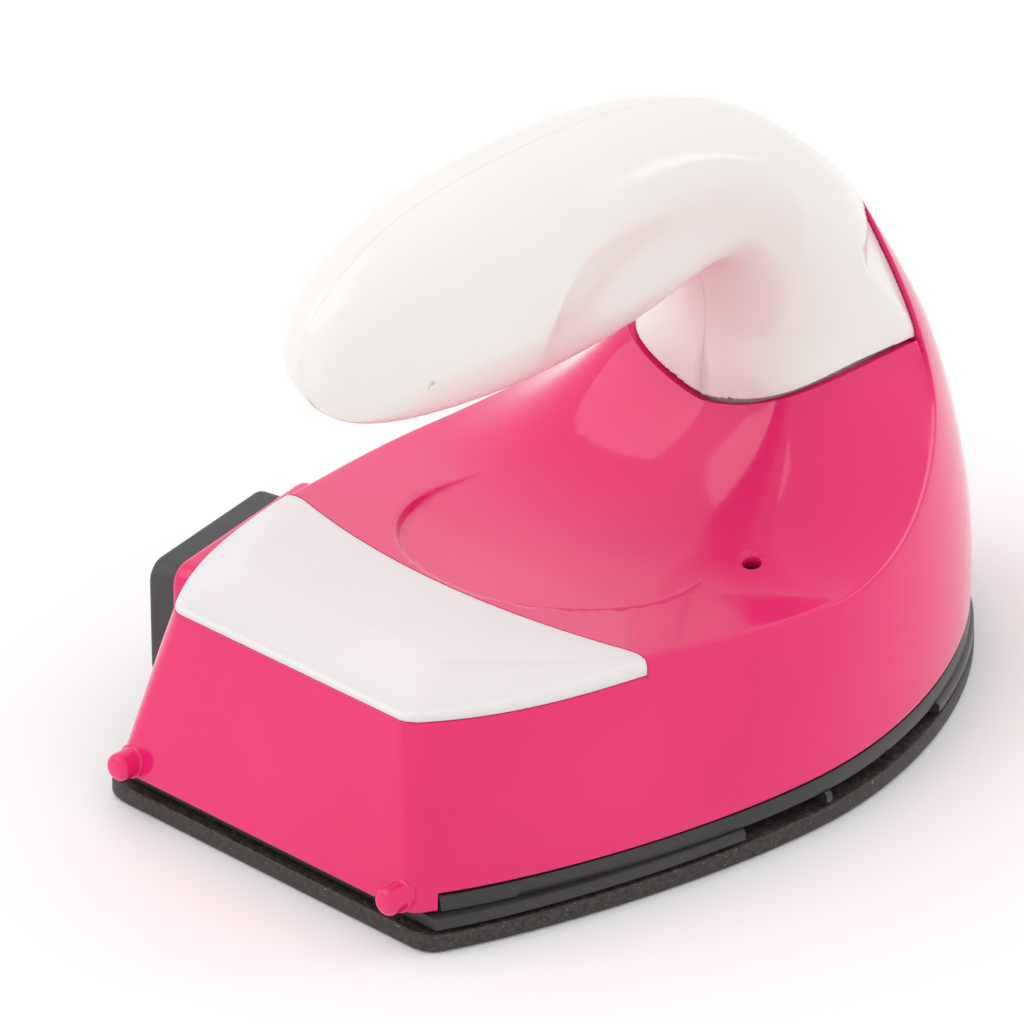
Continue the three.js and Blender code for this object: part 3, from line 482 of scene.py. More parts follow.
MATERIALS = {
    "coated_sole": coated_sole(),
    "heat_plastic": heat_plastic(),
    "pink_plastic": pink_plastic(),
    "lens_plastic": lens_plastic(),
    "white_plastic": white_plastic(),
    "inlet_plastic": inlet_plastic(),
    "screw_steel": metal("screw_steel", (0.62, 0.62, 0.60), 0.32),
    "pin_brass": metal("pin_brass", (0.72, 0.60, 0.36), 0.28),
    "bare_aluminium": metal("bare_aluminium", (0.78, 0.79, 0.80), 0.36),
    "contact_brass": metal("contact_brass", (0.78, 0.57, 0.24), 0.26),
    "sheet_steel": metal("sheet_steel", (0.60, 0.60, 0.58), 0.34),
    "ceramic": moulded_plastic("ceramic", (0.74, 0.70, 0.62), (0.82, 0.79, 0.72), (0.5, 0.7)),
    "phenolic": moulded_plastic("phenolic", (0.04, 0.025, 0.018), (0.06, 0.038, 0.027), (0.4, 0.6)),
    "board_laminate": moulded_plastic("board_laminate", (0.018, 0.10, 0.042),
                                      (0.028, 0.14, 0.06), (0.3, 0.45)),
    "led_resin": moulded_plastic("led_resin", (0.55, 0.015, 0.01), (0.66, 0.02, 0.014),
                                 (0.12, 0.2), coat=0.5),
    "blue_wire": moulded_plastic("blue_wire", (0.02, 0.07, 0.32), (0.03, 0.09, 0.38), (0.3, 0.45)),
    "red_wire": moulded_plastic("red_wire", (0.36, 0.014, 0.01), (0.42, 0.018, 0.013), (0.3, 0.45)),
}
SLOT_OF = {part["node"]: part["material_slot"] for part in frame["record"]["subparts"]}
for node_name, node in frame["nodes"].items():
    node.data.materials.clear()
    node.data.materials.append(MATERIALS[SLOT_OF[node_name]])


# ------------------------------------------------------------------ housing
def ridge_of(flank_t, bow_t):
    """Where each wall column meets the deck or the hood's rear plane: points and kind."""
    levels = np.linspace(18, HOOD_TOP, 420)
    wall = np.array([half_outline(z, flank_t, bow_t) for z in levels])
    x, y, z = wall[..., 0], wall[..., 1], levels[:, None]
    under_deck = deck_height(x, y) - z
    before_hood = (x - plane_x(z)) * 2.5
    kept = np.maximum(under_deck, before_hood)
    tops, kinds = [], []
    for k in range(wall.shape[1]):
        gone = np.nonzero(kept[:, k] <= 0)[0]
        if len(gone) == 0:
            tops.append(HOOD_TOP)
            kinds.append(True)
            continue
        i = max(1, gone[0])
        share = kept[i - 1, k] / (kept[i - 1, k] - kept[i, k])
        tops.append(mix(levels[i - 1], levels[i], share))
        kinds.append(before_hood[i - 1, k] > under_deck[i - 1, k])
    return np.array(tops), np.array(kinds)


def column_points(z_of_column, flank_t, bow_t, inset=0.0):
    """Outline points where every column has its own height."""
    count, bottom = 240, 2
    levels = np.linspace(bottom, HOOD_TOP, count)
    wall = np.array([half_outline(z, flank_t, bow_t, inset) for z in levels])
    place = (np.asarray(z_of_column) - bottom) / (HOOD_TOP - bottom) * (count - 1)
    place = np.clip(place, 0, count - 1.001)
    low = place.astype(int)
    share = (place - low)[:, None]
    k = np.arange(wall.shape[1])
    xy = wall[low, k] * (1 - share) + wall[low + 1, k] * share
    return np.column_stack([xy, z_of_column])


def mirrored(points):
    """The same points on the other side, y to -y."""
    return np.asarray(points) * np.array([1, -1, 1])


def find_wing():
    """The flank parameter where the ridge meets the lens's front edge."""
    trial = np.linspace(0.04, 1, 240)
    bow_t = np.array([1.0])
    tops, _ = ridge_of(trial, bow_t)
    points = column_points(tops, trial, bow_t)[HEEL_STEPS + CORNER_STEPS - 1:]
    gap = points[:len(trial), 0] - lens_front_x(points[:len(trial), 1])
    i = np.nonzero(gap > 0)[0][0]
    return mix(trial[i - 1], trial[i], -gap[i - 1] / (gap[i] - gap[i - 1]))


def flank_share(x):
    """Where along the flank's curve the skirt reaches x."""
    t = np.linspace(0, 1, 4000)
    return float(np.interp(x, bezier(plan_curves(SKIRT_Z, 0, HOUSING_HEEL_HALF)[0], t)[:, 0], t))


WING_T = find_wing()
STEP_T = [flank_share(SKIRT_STEP_X - 0.03), flank_share(SKIRT_STEP_X + 0.03)]
FLANK_T = np.unique(np.concatenate([np.linspace(0.036, WING_T, 40), STEP_T,
                                    np.linspace(WING_T, 1, 52)]))
BOW_T = 1 - (1 - np.linspace(0, 1, 110)[1:]) ** 1.25
FIRST = HEEL_STEPS + CORNER_STEPS - 1  # the first column on the flank's curve
WING = FIRST + int(np.searchsorted(FLANK_T, WING_T))  # the column at the lens's wing tip


def ellipse_rear(grow):
    """The neck's seat outline behind the hood's plane, from y > 0 round the rear to y < 0."""
    turn = np.linspace(0, 2 * math.pi, 6001)
    c, s = np.cos(turn), np.sin(turn)
    x = NECK_X + (NECK_A + grow) * np.sign(c) * np.abs(c) ** (2 / NECK_POWER)
    y = (NECK_B + grow) * np.sign(s) * np.abs(s) ** (2 / NECK_POWER)
    behind = x < plane_x(neck_seat(y))
    x, y = x[behind], y[behind]
    # even out the spacing along the curve
    step = np.hypot(np.diff(x), np.diff(y))
    along = np.concatenate([[0], np.cumsum(step)])
    even = np.linspace(0, along[-1], 96)
    return np.column_stack([np.interp(even, along, x), np.interp(even, along, y)])


def edge_lines():
    """The ridge and the hood's rim: their columns, heights, radii and inner lines."""
    tops, hooded = ridge_of(FLANK_T, BOW_T)
    ridge = column_points(tops, FLANK_T, BOW_T)
    hood = int(np.nonzero(hooded & (tops > 34))[0][0])
    count = len(tops)
    k = np.arange(count)

    # edge radius: full along the flank, shrinking to the rim's where the hood begins
    fade = smooth(hood - 26, hood - 3, k)
    radius = mix(RIDGE, RIM, fade) * mix(0.4, 1, smooth(count - 1, count - 14, k))
    rim_in = np.zeros((count, 3))
    inward = np.zeros((count, 2))
    tangent = np.gradient(ridge, axis=0)
    for i in range(count):
        if i < hood:
            t = tangent[i, :2] / np.linalg.norm(tangent[i, :2])
            inward[i] = (t[1], -t[0])
            p = ridge[i, :2] + inward[i] * radius[i]
            if i == WING:
                p[0] = lens_front_x(p[1])
            rim_in[i] = (*p, deck_height(p[0], p[1]) - dish_drop(p[0], p[1]))
        else:
            t = tangent[i, 1:] / np.linalg.norm(tangent[i, 1:])
            inward[i] = (-t[1], t[0])
            p = ridge[i, 1:] + inward[i] * radius[i]
            p[0] = max(p[0], 0.0)
            rim_in[i] = (plane_x(p[1]), p[0], p[1])
    return tops, ridge, hood, radius, rim_in, inward


def make_housing():
    """The pink housing: flanks, soft ridge, hood rim, dished deck, pilot hole and recesses."""
    skin = Patches()
    tops, ridge, hood, radius, rim_in, inward = edge_lines()
    count = len(tops)

    # walls
    seat = lens_seat(ridge[:, 0])
    belt = np.minimum(seat, tops - radius - 0.6)
    belt[:WING + 1] = seat[:WING + 1]
    base = column_points(np.full(count, SKIRT_Z), FLANK_T, BOW_T)
    skirt = np.where(base[:, 0] < SKIRT_STEP_X, HEEL_SKIRT_Z, SKIRT_Z)
    rows = []
    for rise, inset in ((0.0, 1.3), (0.0, 0.28), (0.09, 0.08), (0.28, 0.0)):
        rows.append(column_points(skirt + rise, FLANK_T, BOW_T, inset))
    for share in np.linspace(0, 1, 15):
        rows.append(column_points(mix(skirt + 0.5, belt - 0.5, share), FLANK_T, BOW_T))
    rows.append(column_points(belt - 0.22, FLANK_T, BOW_T))
    rows = np.array(rows)
    low_end = rows[-1]
    full = np.concatenate([rows, mirrored(rows)[:, -2:0:-1]], axis=1)
    skin.grid(full, closed=True)

    # seat ledge for the lens
    lip = []
    for drop, inset in ((0.22, 0.0), (0.07, 0.05), (0.0, 0.2), (0.0, 2.6), (2.2, 2.6)):
        lip.append(column_points(belt - drop, FLANK_T, BOW_T, inset)[:WING + 1])
    lip = np.array(lip)
    both = np.concatenate([mirrored(lip)[:, ::-1], lip[:, 1:]], axis=1)
    skin.grid(both)

    # flank above the belt and the soft ridge
    below = column_points(tops - radius, FLANK_T, BOW_T)
    fillet = np.array([[bezier([below[i], ridge[i], rim_in[i]], s) for i in range(count)]
                       for s in np.linspace(0, 1, 8)])
    bend = lens_front_x(fillet[:, WING, 1])
    fillet[1:, WING, 0] = bend[1:]
    upper = np.array([column_points(mix(belt - 0.22, tops - radius, s), FLANK_T, BOW_T)
                      for s in np.linspace(0, 1, 7)])
    for rows in (upper[:, WING:], fillet[:, WING:]):
        skin.grid(np.concatenate([rows, mirrored(rows)[:, -2::-1]], axis=1))

    # inner face of the hood's rim
    inner = []
    for depth in (0.0, 0.8, 2.6):
        line = []
        for i in range(hood, count):
            p = rim_in[i, 1:] + inward[i] * depth
            line.append((plane_x(p[1]), max(p[0], 0.0), p[1]))
        inner.append(line)
    inner = np.array(inner)
    skin.grid(np.concatenate([inner, mirrored(inner)[:, -2::-1]], axis=1))

    # deck
    neck = ellipse_rear(0.0)
    neck_z = deck_height(neck[:, 0], neck[:, 1])
    side = rim_in[WING:hood + 1]
    arc_y = side[0, 1] * np.cos(np.linspace(0, math.pi, 120))[1:-1]
    arc = np.column_stack([lens_front_x(arc_y), arc_y])
    outer = np.vstack([side[::-1, :2], arc, mirrored(side)[:, :2], neck[::-1]])
    arc_z = deck_height(arc[:, 0], arc[:, 1]) - dish_drop(arc[:, 0], arc[:, 1])
    known = np.concatenate([side[::-1, 2], arc_z, side[:, 2], neck_z[::-1]])
    turn = np.linspace(0, 2 * math.pi, 150, endpoint=False)
    steps = [circle(DISH_X, 0, DISH_R + grow, turn) for grow in (0.26, 0.12, -0.04, -0.2, -0.34)]
    turn = np.linspace(0, 2 * math.pi, 28, endpoint=False)
    hole = [circle(PEEP_X, PEEP_Y, PEEP_R + grow, turn) for grow in (0.1, 0.0)]
    points, faces = triangulate(outer, steps + [hole[0]], [hole[1]], GRID, 0.42)
    z = deck_height(points[:, 0], points[:, 1]) - dish_drop(points[:, 0], points[:, 1])
    z[:len(outer)] = known
    near = np.hypot(points[:, 0] - PEEP_X, points[:, 1] - PEEP_Y) < PEEP_R + 0.05
    z[near] -= 0.1
    skin.add(np.column_stack([points, z]), faces)

    # pilot hole
    tube = []
    for grow, drop in ((0.0, 0.1), (-0.06, 0.3), (-0.06, 1.8)):
        ring = circle(PEEP_X, PEEP_Y, PEEP_R + grow, turn)
        tube.append(np.column_stack([ring, deck_height(ring[:, 0], ring[:, 1]) - drop]))
    skin.grid(tube, closed=True)

    # step down to the lens
    top_line = np.vstack([fillet[:, WING], np.column_stack([arc, arc_z]),
                          mirrored(fillet[::-1, WING])])
    foot = top_line.copy()
    foot[:, 2] = lens_seat(foot[:, 0]) - 0.4
    foot[0], foot[-1] = low_end[WING], mirrored(low_end[WING])
    skin.grid([top_line, mix(top_line, foot, 0.5), foot])

    # recess around the neck
    recess = []
    for grow, drop in ((0.0, 0.0), (-0.05, 0.06), (-0.08, 0.2), (-1.2, 0.3), (-1.2, 3.2)):
        ring = ellipse_rear(grow)
        recess.append(np.column_stack([ring, neck_z - drop]))
    skin.grid(recess)

    def by_the_neck(p):
        across, along = abs(p.y) / (NECK_B + 1.3), abs(p.x - NECK_X) / (NECK_A + 1.3)
        return across ** NECK_POWER + along ** NECK_POWER < 1 and p.z > 28

    piece = skin.build("housing", MATERIALS["pink_plastic"], thickness=0.8, thin=by_the_neck)
    return finish_piece(piece, "pink_plastic", "main_housing")


# ------------------------------------------------------------------ lens
def lens_height(x, y, flank_y, heel_x):
    """The lens's top: a shoulder that rises from the heel and the flanks, then the scoop."""
    shoulder = LENS_SEAT_Z + 0.5 + 0.32 * np.minimum(x - heel_x, flank_y - np.abs(y))
    return soft_min(shoulder, deck_height(x, y), 0.35)


def make_lens():
    """The milky tail lens, with rounded edges all round."""
    skin = Patches()
    tops, _ = ridge_of(FLANK_T, BOW_T)
    ridge = column_points(tops, FLANK_T, BOW_T)
    seat = lens_seat(ridge[:, 0])
    line = column_points(seat, FLANK_T, BOW_T)[:WING + 1]
    heel_x = line[0, 0]

    def height(x, y):
        flank = np.interp(x, line[HEEL_STEPS:, 0], line[HEEL_STEPS:, 1])
        return lens_height(x, y, flank, heel_x)

    def rim(inset, z):
        ring = column_points(z, FLANK_T, BOW_T, inset)[:WING + 1]
        front = lens_front_x(ring[:, 1]) - LENS_GAP
        ring[:, 0] = np.minimum(ring[:, 0], front)
        return ring

    top_inset = 0.85
    crown = rim(top_inset, seat + 0.3)
    crown_z = height(crown[:, 0], crown[:, 1])
    rows = []
    for share in np.linspace(0, 1, 9):
        angle = share * math.pi / 2
        inset = 0.03 + (top_inset - 0.03) * (1 - math.cos(angle))
        ring = rim(inset, seat + 0.08)
        rise = (crown_z - seat[:WING + 1] - 0.1) * math.sin(angle)
        ring[:, 2] = seat[:WING + 1] + 0.1 + rise
        rows.append(ring)
    rows = np.array(rows)
    rows[-1][:, 2] = crown_z
    both = np.concatenate([mirrored(rows)[:, ::-1], rows[:, 1:]], axis=1)

    # front edge: a small round over, then down to the seat
    end = rows[-1][-1]
    front_y = end[1] * np.cos(np.linspace(0, math.pi, 120))[1:-1]
    front = np.column_stack([lens_front_x(front_y) - LENS_GAP - 0.18, front_y])
    front = np.column_stack([front, height(front[:, 0], front[:, 1])])
    top_loop = np.vstack([both[-1], front])
    front_low = lens_seat(lens_front_x(front_y) - LENS_GAP) + 0.1
    walls = []
    for i, share in enumerate(np.linspace(0, 1, 9)):
        angle = share * math.pi / 2
        edge = front.copy()
        edge[:, 0] = lens_front_x(front_y) - LENS_GAP - 0.18 * (1 - math.cos(angle))
        fall = np.where(share == 0, front[:, 2] - front_low, 0.22 * (1 - math.sin(angle)))
        edge[:, 2] = front[:, 2] - fall
        walls.append(np.vstack([both[i], edge]))
    walls[-1] = top_loop
    skin.grid(walls, closed=True)
    points, faces = triangulate(top_loop[:, :2], [], [], 0.8, 0.38)
    z = height(points[:, 0], points[:, 1])
    z[:len(top_loop)] = top_loop[:, 2]
    skin.add(np.column_stack([points, z]), faces)
    points, faces = triangulate(walls[0][:, :2], [], [], 6.0, 2.0)
    z = lens_seat(points[:, 0]) + 0.1
    z[:len(walls[0])] = walls[0][:, 2]
    skin.add(np.column_stack([points, z]), faces)
    piece = skin.build("tail_lens", MATERIALS["lens_plastic"], sharp=50)
    return finish_piece(piece, "lens_plastic", "indicator_lens")


# ------------------------------------------------------------------ handle
# x and z of the section's two ends, first under then over the handle, and its half width
HANDLE_STATIONS = np.array([
    (-43.0, 57.6, -43.0, 58.2, 0.3),
    (-42.4, 54.6, -42.3, 60.8, 3.1),
    (-40.2, 51.2, -40.0, 63.5, 5.4),
    (-36.4, 48.8, -36.2, 66.2, 7.4),
    (-30.0, 47.2, -30.0, 69.0, 9.4),
    (-20.0, 46.3, -20.0, 70.7, 10.9),
    (-10.0, 46.2, -9.5, 71.2, 11.4),
    (-1.5, 46.6, 0.0, 70.9, 11.4),
    (5.5, 47.9, 9.0, 69.6, 11.2),
    (10.6, 49.5, 17.5, 67.2, 10.8),
    (14.0, 50.2, 25.0, 63.4, 10.8),
    (16.0, 49.0, 31.2, 58.4, 11.2),
    (17.2, 46.4, 37.4, 53.0, 11.8),
    (18.0, 42.8, 42.6, 47.8, 12.6),
    (18.1, 38.6, 45.6, 39.5, 13.8),
    (17.7, 34.0, 47.0, 33.0, 14.2),
    (17.6, 28.0, 48.0, 27.0, 14.2),
])
GRIP_X, GRIP_Z, GRIP_LONG, GRIP_TALL, GRIP_DEPTH = 2, 54, 19.5, 12.8, 4.2  # finger scallops
FOOT_STEP = 1.4  # how far the neck's foot stands back from its wall
FOOT_LIFT, FOOT_LIFT_X = 0.42, 27  # the gap over the recess is widest here
FOOT_SHARE = 0.84  # the foot is the part of the handle past this share of its length
RIM_GAP, PLANE_GAP = 0.16, 0.18  # between the neck and the hood's rim, across and along


def station_curve(share):
    """Smooth interpolation of the stations at shares from 0 to 1."""
    s = HANDLE_STATIONS
    padded = np.vstack([2 * s[0] - s[1], s, 2 * s[-1] - s[-2]])
    place = share * (len(s) - 1)
    i = min(int(place), len(s) - 2)
    t = place - i
    a, b, c, d = padded[i:i + 4]
    return 0.5 * (2 * b + (c - a) * t + (2 * a - 5 * b + 4 * c - d) * t ** 2
                  + (3 * b - a - 3 * c + d) * t ** 3)


def make_handle_shell(name, side, node):
    """One half of the handle, from its free end to the foot inside the neck's recess."""
    skin = Patches()
    _, _, hood, _, rim_in, _ = edge_lines()
    rim_z, rim_y = rim_in[hood:, 2], rim_in[hood:, 1]
    shares = np.concatenate([np.linspace(0, 1 / 16, 22), np.linspace(1 / 16, 1, 250)[1:]])
    lines = np.array([station_curve(s) for s in shares])
    kernel = np.exp(-0.5 * (np.arange(-12, 13) / 5.0) ** 2)
    kernel /= kernel.sum()
    for c in range(5):
        long = np.concatenate([np.repeat(lines[0, c], 12), lines[:, c], np.repeat(lines[-1, c], 12)])
        soft = np.convolve(long, kernel, mode="valid")
        lines[:, c] = mix(lines[:, c], soft, smooth(0.14, 0.24, shares) * smooth(1, 0.96, shares))
    finer = np.concatenate([shares[shares < FOOT_SHARE], np.linspace(FOOT_SHARE, 1, 160)])
    lines = np.column_stack([np.interp(finer, shares, lines[:, c]) for c in range(5)])
    shares = finer
    parting, depth = np.array([0.0, 0.006, 0.016, 0.035]), [1, 0.3, 0.06, 0]
    round_side = np.linspace(0.07, math.pi - 0.07, 112)
    turns = np.concatenate([parting, round_side, math.pi - parting[::-1]])
    groove = np.concatenate([depth, np.zeros(len(round_side)), depth[::-1]])
    rows = []
    for share, (ux, uz, tx, tz, half) in zip(shares, lines):
        neck = smooth(0.55, 0.85, share)
        point = 0.15 * neck + 0.65 * math.exp(-(((share - 0.8) / 0.06) ** 2))
        mx, mz, ax, az = (ux + tx) / 2, (uz + tz) / 2, (tx - ux) / 2, (tz - uz) / 2
        length = math.hypot(ax, az)
        c, s = np.cos(turns), np.sin(turns)
        foot = smooth(0.84, 0.93, share)
        power = np.where(c > 0, mix(1, 2 / NECK_POWER, foot),
                         mix(mix(1, 0.77, neck), 2 / NECK_POWER, foot))
        reach = np.sign(c) * np.abs(c) ** power
        spread = np.abs(s) ** power * (1 - point * np.maximum(c, 0) ** 2)
        raised = 0.12 * smooth(0.6, 0.64, share) * (turns > 2) * (side < 0)  # moulding line
        shrink = 1 + groove * (raised - 0.015 * smooth(0.04, 0.1, share)) / max(length, 1.0)
        x = mx + ax * reach * shrink
        z = mz + az * reach * shrink
        cup = 1 - ((x - GRIP_X) / GRIP_LONG) ** 2 - ((z - GRIP_Z) / GRIP_TALL) ** 2
        grip = -GRIP_DEPTH * soft_min(0, -cup, 0.05)
        width = np.maximum(0.2, half - grip * s ** 2)
        y = width * spread
        room = np.interp(z, rim_z, rim_y - RIM_GAP) + np.maximum(0, plane_x(z) - PLANE_GAP - x) * 0.9
        room += 4 * smooth(45.8, 51.5, z)  # the handle spreads again above the rim
        room = np.where(z > rim_z[0], room, 99.0)
        y = np.maximum(soft_min(y, room, 0.35), 0.004)
        # the foot draws in just above the recess, more so along the sides
        clear = neck_seat(y) + FOOT_LIFT * np.exp(-((x - FOOT_LIFT_X) / 6) ** 2)
        draw_in = FOOT_STEP * smooth(clear + 0.5, clear, z) * (share > FOOT_SHARE)
        radius = np.hypot(x - NECK_X, y)
        x, y = x - draw_in * (x - NECK_X) / radius, y * (1 - draw_in / radius)
        rows.append(np.column_stack([x, y * side, z]))
    rows[0][:] = rows[0].mean(0) * (1, 0, 1)  # the tip closes in a point
    skin.grid(rows)
    cut = ((RIM_LOW[0] - PLANE_GAP, 0, RIM_LOW[1]), (1, 0, -RIM_SLOPE))
    piece = skin.build(name, MATERIALS["white_plastic"], cut=cut, thickness=0.7)
    return finish_piece(piece, "white_plastic", node)


# ------------------------------------------------------------------ sole and base frame
BOW_GROWTH = 0.6  # the sole stands out a little further under the flanks and the nose
SOLE_CORNER = 2.6  # plan radius of the sole's heel corners


def ring_of(z, inset, heel_half=HEEL_HALF):
    """A closed outline of the sole at height z."""
    half = half_outline(SKIRT_Z, FLANK_T, BOW_T, inset, heel_half, SOLE_CORNER)
    wide = half_outline(SKIRT_Z, FLANK_T, BOW_T, inset - BOW_GROWTH, heel_half, SOLE_CORNER)
    half = mix(half, wide, smooth(-42, 5, half[:, :1]))
    loop = np.concatenate([half, (half * (1, -1))[-2:0:-1]])
    return np.column_stack([loop, np.full(len(loop), z)])


def make_sole():
    """The flat soleplate with its rounded edge."""
    skin = Patches()
    rows = [ring_of(z, inset) for z, inset in (
        (0, 0.75), (0.03, 0.45), (0.14, 0.2), (0.36, 0.04), (0.6, 0), (1.75, 0), (1.95, 0.03),
        (2.12, 0.14), (SOLE_T, 0.32), (SOLE_T, 6.0))]
    skin.grid(rows, closed=True)
    skin.fan(rows[0])
    skin.fan(rows[-1])
    piece = skin.build("sole", MATERIALS["coated_sole"])
    return finish_piece(piece, "coated_sole", "soleplate")


VENT_SLOTS = ((-12.0, -0.9), (0.1, 10.6), (11.6, 21.8))  # from and to along X, on both flanks


def make_base_band():
    """The frame's upper band, open at the heel."""
    skin = Patches()
    rows = [ring_of(z, inset, 22.6) for z, inset in (
        (3.9, 3.0), (3.9, 0.7), (3.96, 0.55), (4.1, 0.48), (5.5, 0.62), (5.72, 0.75),
        (FRAME_TOP + 0.1, 1.2), (FRAME_TOP + 0.1, 3.0))]
    skin.grid(rows + [rows[0]], closed=True)
    wall = [ring_of(z, inset) for z, inset in ((2.3, 3.4), (6.2, 3.4), (6.2, 4.4), (2.3, 4.4))]
    skin.grid(wall + [wall[0]], closed=True)
    piece = skin.build("base_band", MATERIALS["heat_plastic"], cap=True,
                       cut=((-46.7, 0, 0), (-1, 0, 0)))
    return finish_piece(piece, "heat_plastic", "base_frame")


def make_base_lip():
    """The frame's lower lip, opened by vent slots."""
    skin = Patches()
    rows = [ring_of(z, inset) for z, inset in (
        (2.6, 2.6), (2.6, 0.35), (2.66, 0.16), (2.8, 0.06), (3.5, 0.08), (3.72, 0.18),
        (3.84, 0.36), (3.95, 0.8), (3.95, 2.6))]
    rows = np.array(rows + [rows[0]])
    x = rows[4, :, 0]
    solid = np.ones(len(x), bool)
    for start, end in VENT_SLOTS:
        solid &= (x < start) | (x > end)
    for first in np.nonzero(solid & ~np.roll(solid, 1))[0]:
        run = []
        k = first
        while solid[k % len(x)]:
            run.append(k % len(x))
            k += 1
        skin.grid(rows[:, run])
        for end in (run[0], run[-1]):
            skin.fan(rows[:-1, end])
    piece = skin.build("base_lip", MATERIALS["heat_plastic"], cap=True,
                       cut=((-48.1, 0, 0), (-1, 0, 0)))
    return finish_piece(piece, "heat_plastic")


# ------------------------------------------------------------------ inlet and nubs
def rounded_rect(width, height, radius, y):
    """A loop in the inlet's own axes: x along the flank, y outward, z up."""
    loop = []
    for cx, cz, first in ((1, 1, 0), (-1, 1, 1), (-1, -1, 2), (1, -1, 3)):
        for i in range(9):
            a = (first + i / 8) * math.pi / 2
            loop.append((cx * (width / 2 - radius) + radius * math.cos(a), y,
                         cz * (height / 2 - radius) + radius * math.sin(a)))
    return np.array(loop)


def to_inlet(points):
    """From the inlet's own axes to the frame's."""
    c, s = math.cos(INLET_TURN), math.sin(INLET_TURN)
    p = np.asarray(points, float)
    return np.stack([INLET_AT[0] + p[..., 0] * c - p[..., 1] * s,
                     INLET_AT[1] + p[..., 0] * s + p[..., 1] * c,
                     INLET_AT[2] + p[..., 2]], -1)


def shrunk(width, height, radius, inset, y):
    return rounded_rect(width - 2 * inset, height - 2 * inset, max(radius - inset, 0.05), y)


def make_inlet():
    """The dark inlet block with its recess, and the two turned pins in it."""
    skin = Patches()
    w, h, r, out = INLET_W, INLET_H, 2.3, INLET_OUT
    rows = [shrunk(w, h, r, i, y) for i, y in (
        (0.0, -8.0), (0.0, out - 0.7), (0.06, out - 0.36), (0.22, out - 0.12), (0.5, out))]
    sw, sh, sr = 16.4, 7.6, 3.0
    rows += [shrunk(sw, sh, sr, i, y) for i, y in (
        (-0.3, out), (-0.08, out - 0.1), (0.0, out - 0.35), (0.0, out - 8.0), (0.3, out - 8.2))]
    rows = [to_inlet(row) for row in rows]
    skin.grid(rows, closed=True)
    skin.fan(rows[0])
    skin.fan(rows[-1])
    piece = skin.build("inlet_block", MATERIALS["inlet_plastic"])
    finish_piece(piece, "inlet_plastic", "inlet_housing")

    for node, x in (("inlet_pin_live", -4.2), ("inlet_pin_neutral", 4.2)):
        pin = Patches()
        profile = [(0.0, 4.85), (0.35, 4.82), (0.7, 4.6), (0.95, 4.2), (1.1, 3.6), (1.1, -9.2),
                   (1.0, -9.6), (0.0, -9.6)]
        turned = lathe(profile, 28)[..., [1, 0, 2]] + np.array([x, 0, 0])
        pin.grid(to_inlet(turned), closed=True)
        finish_piece(pin.build(f"{node}_turned", MATERIALS["pin_brass"]), "pin_brass", node)


def make_collar():
    """The pink surround that the inlet sits in, moulded on the flank."""
    skin = Patches()
    w, h, r, out = INLET_W + 3.8, INLET_H + 3.2, 2.5, INLET_OUT - 4.35
    rows = [shrunk(w, h, r, i, y) for i, y in (
        (0.0, -5.0), (0.0, out - 0.9), (0.08, out - 0.45), (0.3, out - 0.14), (0.65, out),
        (1.4, out), (1.5, out - 0.1), (1.52, out - 0.3), (1.52, -5.0))]
    rows = [to_inlet(row) for row in rows]
    skin.grid(rows + [rows[0]], closed=True)
    return finish_piece(skin.build("inlet_collar", MATERIALS["pink_plastic"]), "pink_plastic")


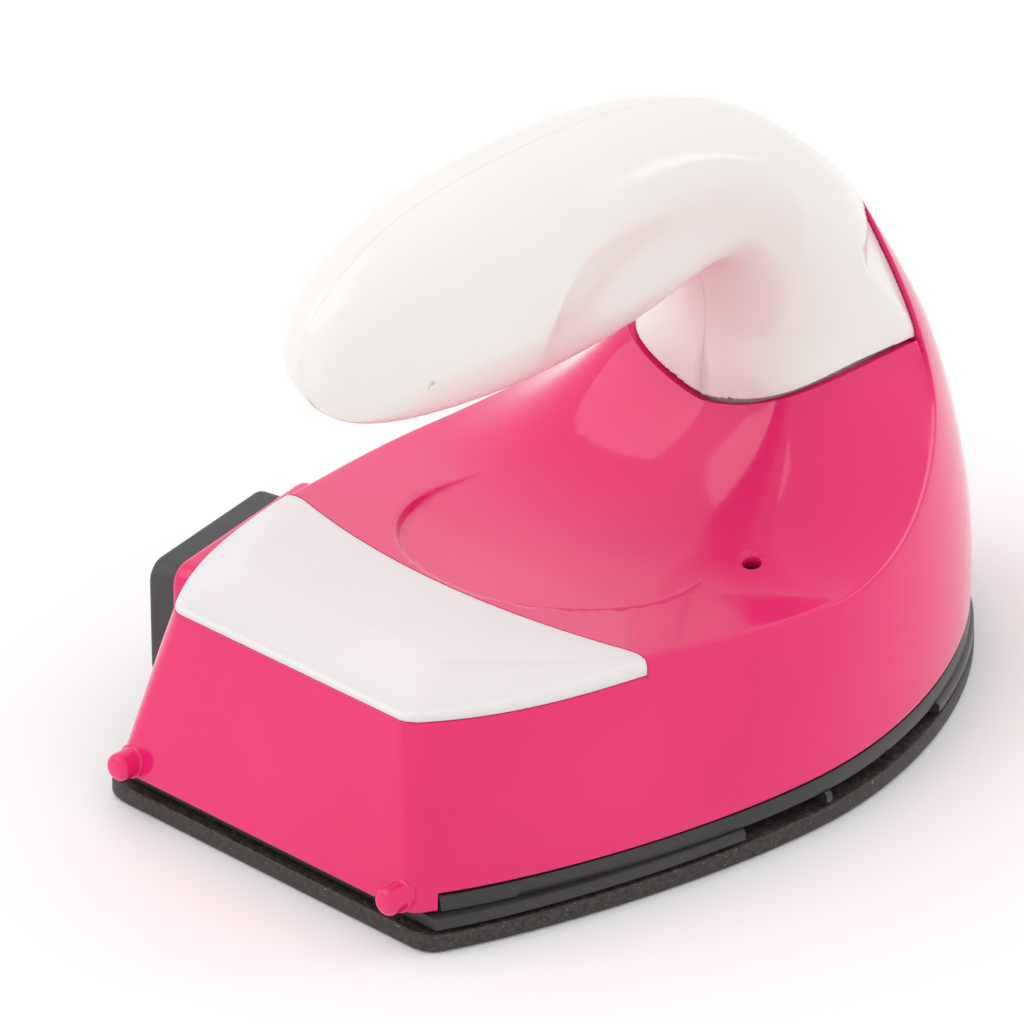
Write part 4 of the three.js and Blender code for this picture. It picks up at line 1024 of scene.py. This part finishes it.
def make_nub(side, word):
    """A short round peg low on the heel, with a soft root and a rounded tip."""
    skin = Patches()
    turn = np.linspace(0, 2 * math.pi, 44, endpoint=False)
    y, z = np.cos(turn), np.sin(turn)
    rows = []
    for grow, out in ((0.25, -0.5), (0.25, -0.03), (0.1, 0.03), (0.03, 0.12), (0.0, 0.3)):
        r = NUB_R + grow
        face = HEEL_X + HEEL_LEAN * (NUB_Z + r * z - SKIRT_Z)
        rows.append(np.column_stack([face - out, NUB_Y * side + r * y, NUB_Z + r * z]))
    tip = 0.85
    for i in range(9):
        a = i / 8 * math.pi / 2
        r = NUB_R - tip * (1 - math.cos(a))
        x = NUB_TIP_X + tip * (1 - math.sin(a))
        rows.append(np.column_stack([np.full(44, x), NUB_Y * side + r * y, NUB_Z + r * z]))
    skin.grid(rows, closed=True)
    skin.fan(rows[-1])
    return finish_piece(skin.build(f"heel_nub_{word}", MATERIALS["pink_plastic"]), "pink_plastic")


make_housing()
make_lens()
make_handle_shell("grip_shell_left", 1, "handle_shell_left")
make_handle_shell("grip_shell_right", -1, "handle_shell_right")
make_sole()
make_base_band()
make_base_lip()
make_inlet()
make_collar()
make_nub(1, "left")
make_nub(-1, "right")

# ------------------------------------------------------------------ stage, light, camera
bpy.ops.mesh.primitive_plane_add(size=4)
floor = bpy.context.object
floor.name = "floor"
floor.data.materials.append(floor_material())

world = bpy.data.worlds.new("studio")
bpy.context.scene.world = world
world.use_nodes = True
world.node_tree.nodes["Background"].inputs["Color"].default_value = (1, 1, 1, 1)
world.node_tree.nodes["Background"].inputs["Strength"].default_value = 0.95


def area_light(name, where, aim, size, power):
    """A rectangular lamp at one point that faces another, in metres."""
    light = bpy.data.lights.new(name, "AREA")
    light.shape = "RECTANGLE"
    light.size, light.size_y = size
    light.energy = power
    lamp = bpy.data.objects.new(name, light)
    bpy.context.scene.collection.objects.link(lamp)
    lamp.location = where
    lamp.rotation_euler = (Vector(aim) - Vector(where)).to_track_quat("-Z", "Y").to_euler()


area_light("key", (-0.5, 0.45, 0.8), (0, 0, 0.03), (0.8, 0.8), 2.3)
area_light("fill", (0.8, -0.4, 0.5), (0, 0, 0.04), (0.22, 0.34), 0.45)

AZIMUTH, ELEVATION, DISTANCE = math.radians(-46.03), math.radians(28), 0.8696
TARGET = Vector((1.44, 12.96, 18.87)) * MM
back = Vector((math.sin(AZIMUTH) * math.cos(ELEVATION), -math.cos(AZIMUTH) * math.cos(ELEVATION),
               math.sin(ELEVATION)))
camera = bpy.data.objects.new("camera", bpy.data.cameras.new("camera"))
bpy.context.scene.collection.objects.link(camera)
camera.location = TARGET + back * DISTANCE
camera.rotation_euler = back.to_track_quat("Z", "Y").to_euler()
camera.data.sensor_width = 36
camera.data.lens = 281.25
camera.data.clip_end = 20
bpy.context.scene.camera = camera
bpy.context.scene.view_settings.view_transform = "Standard"
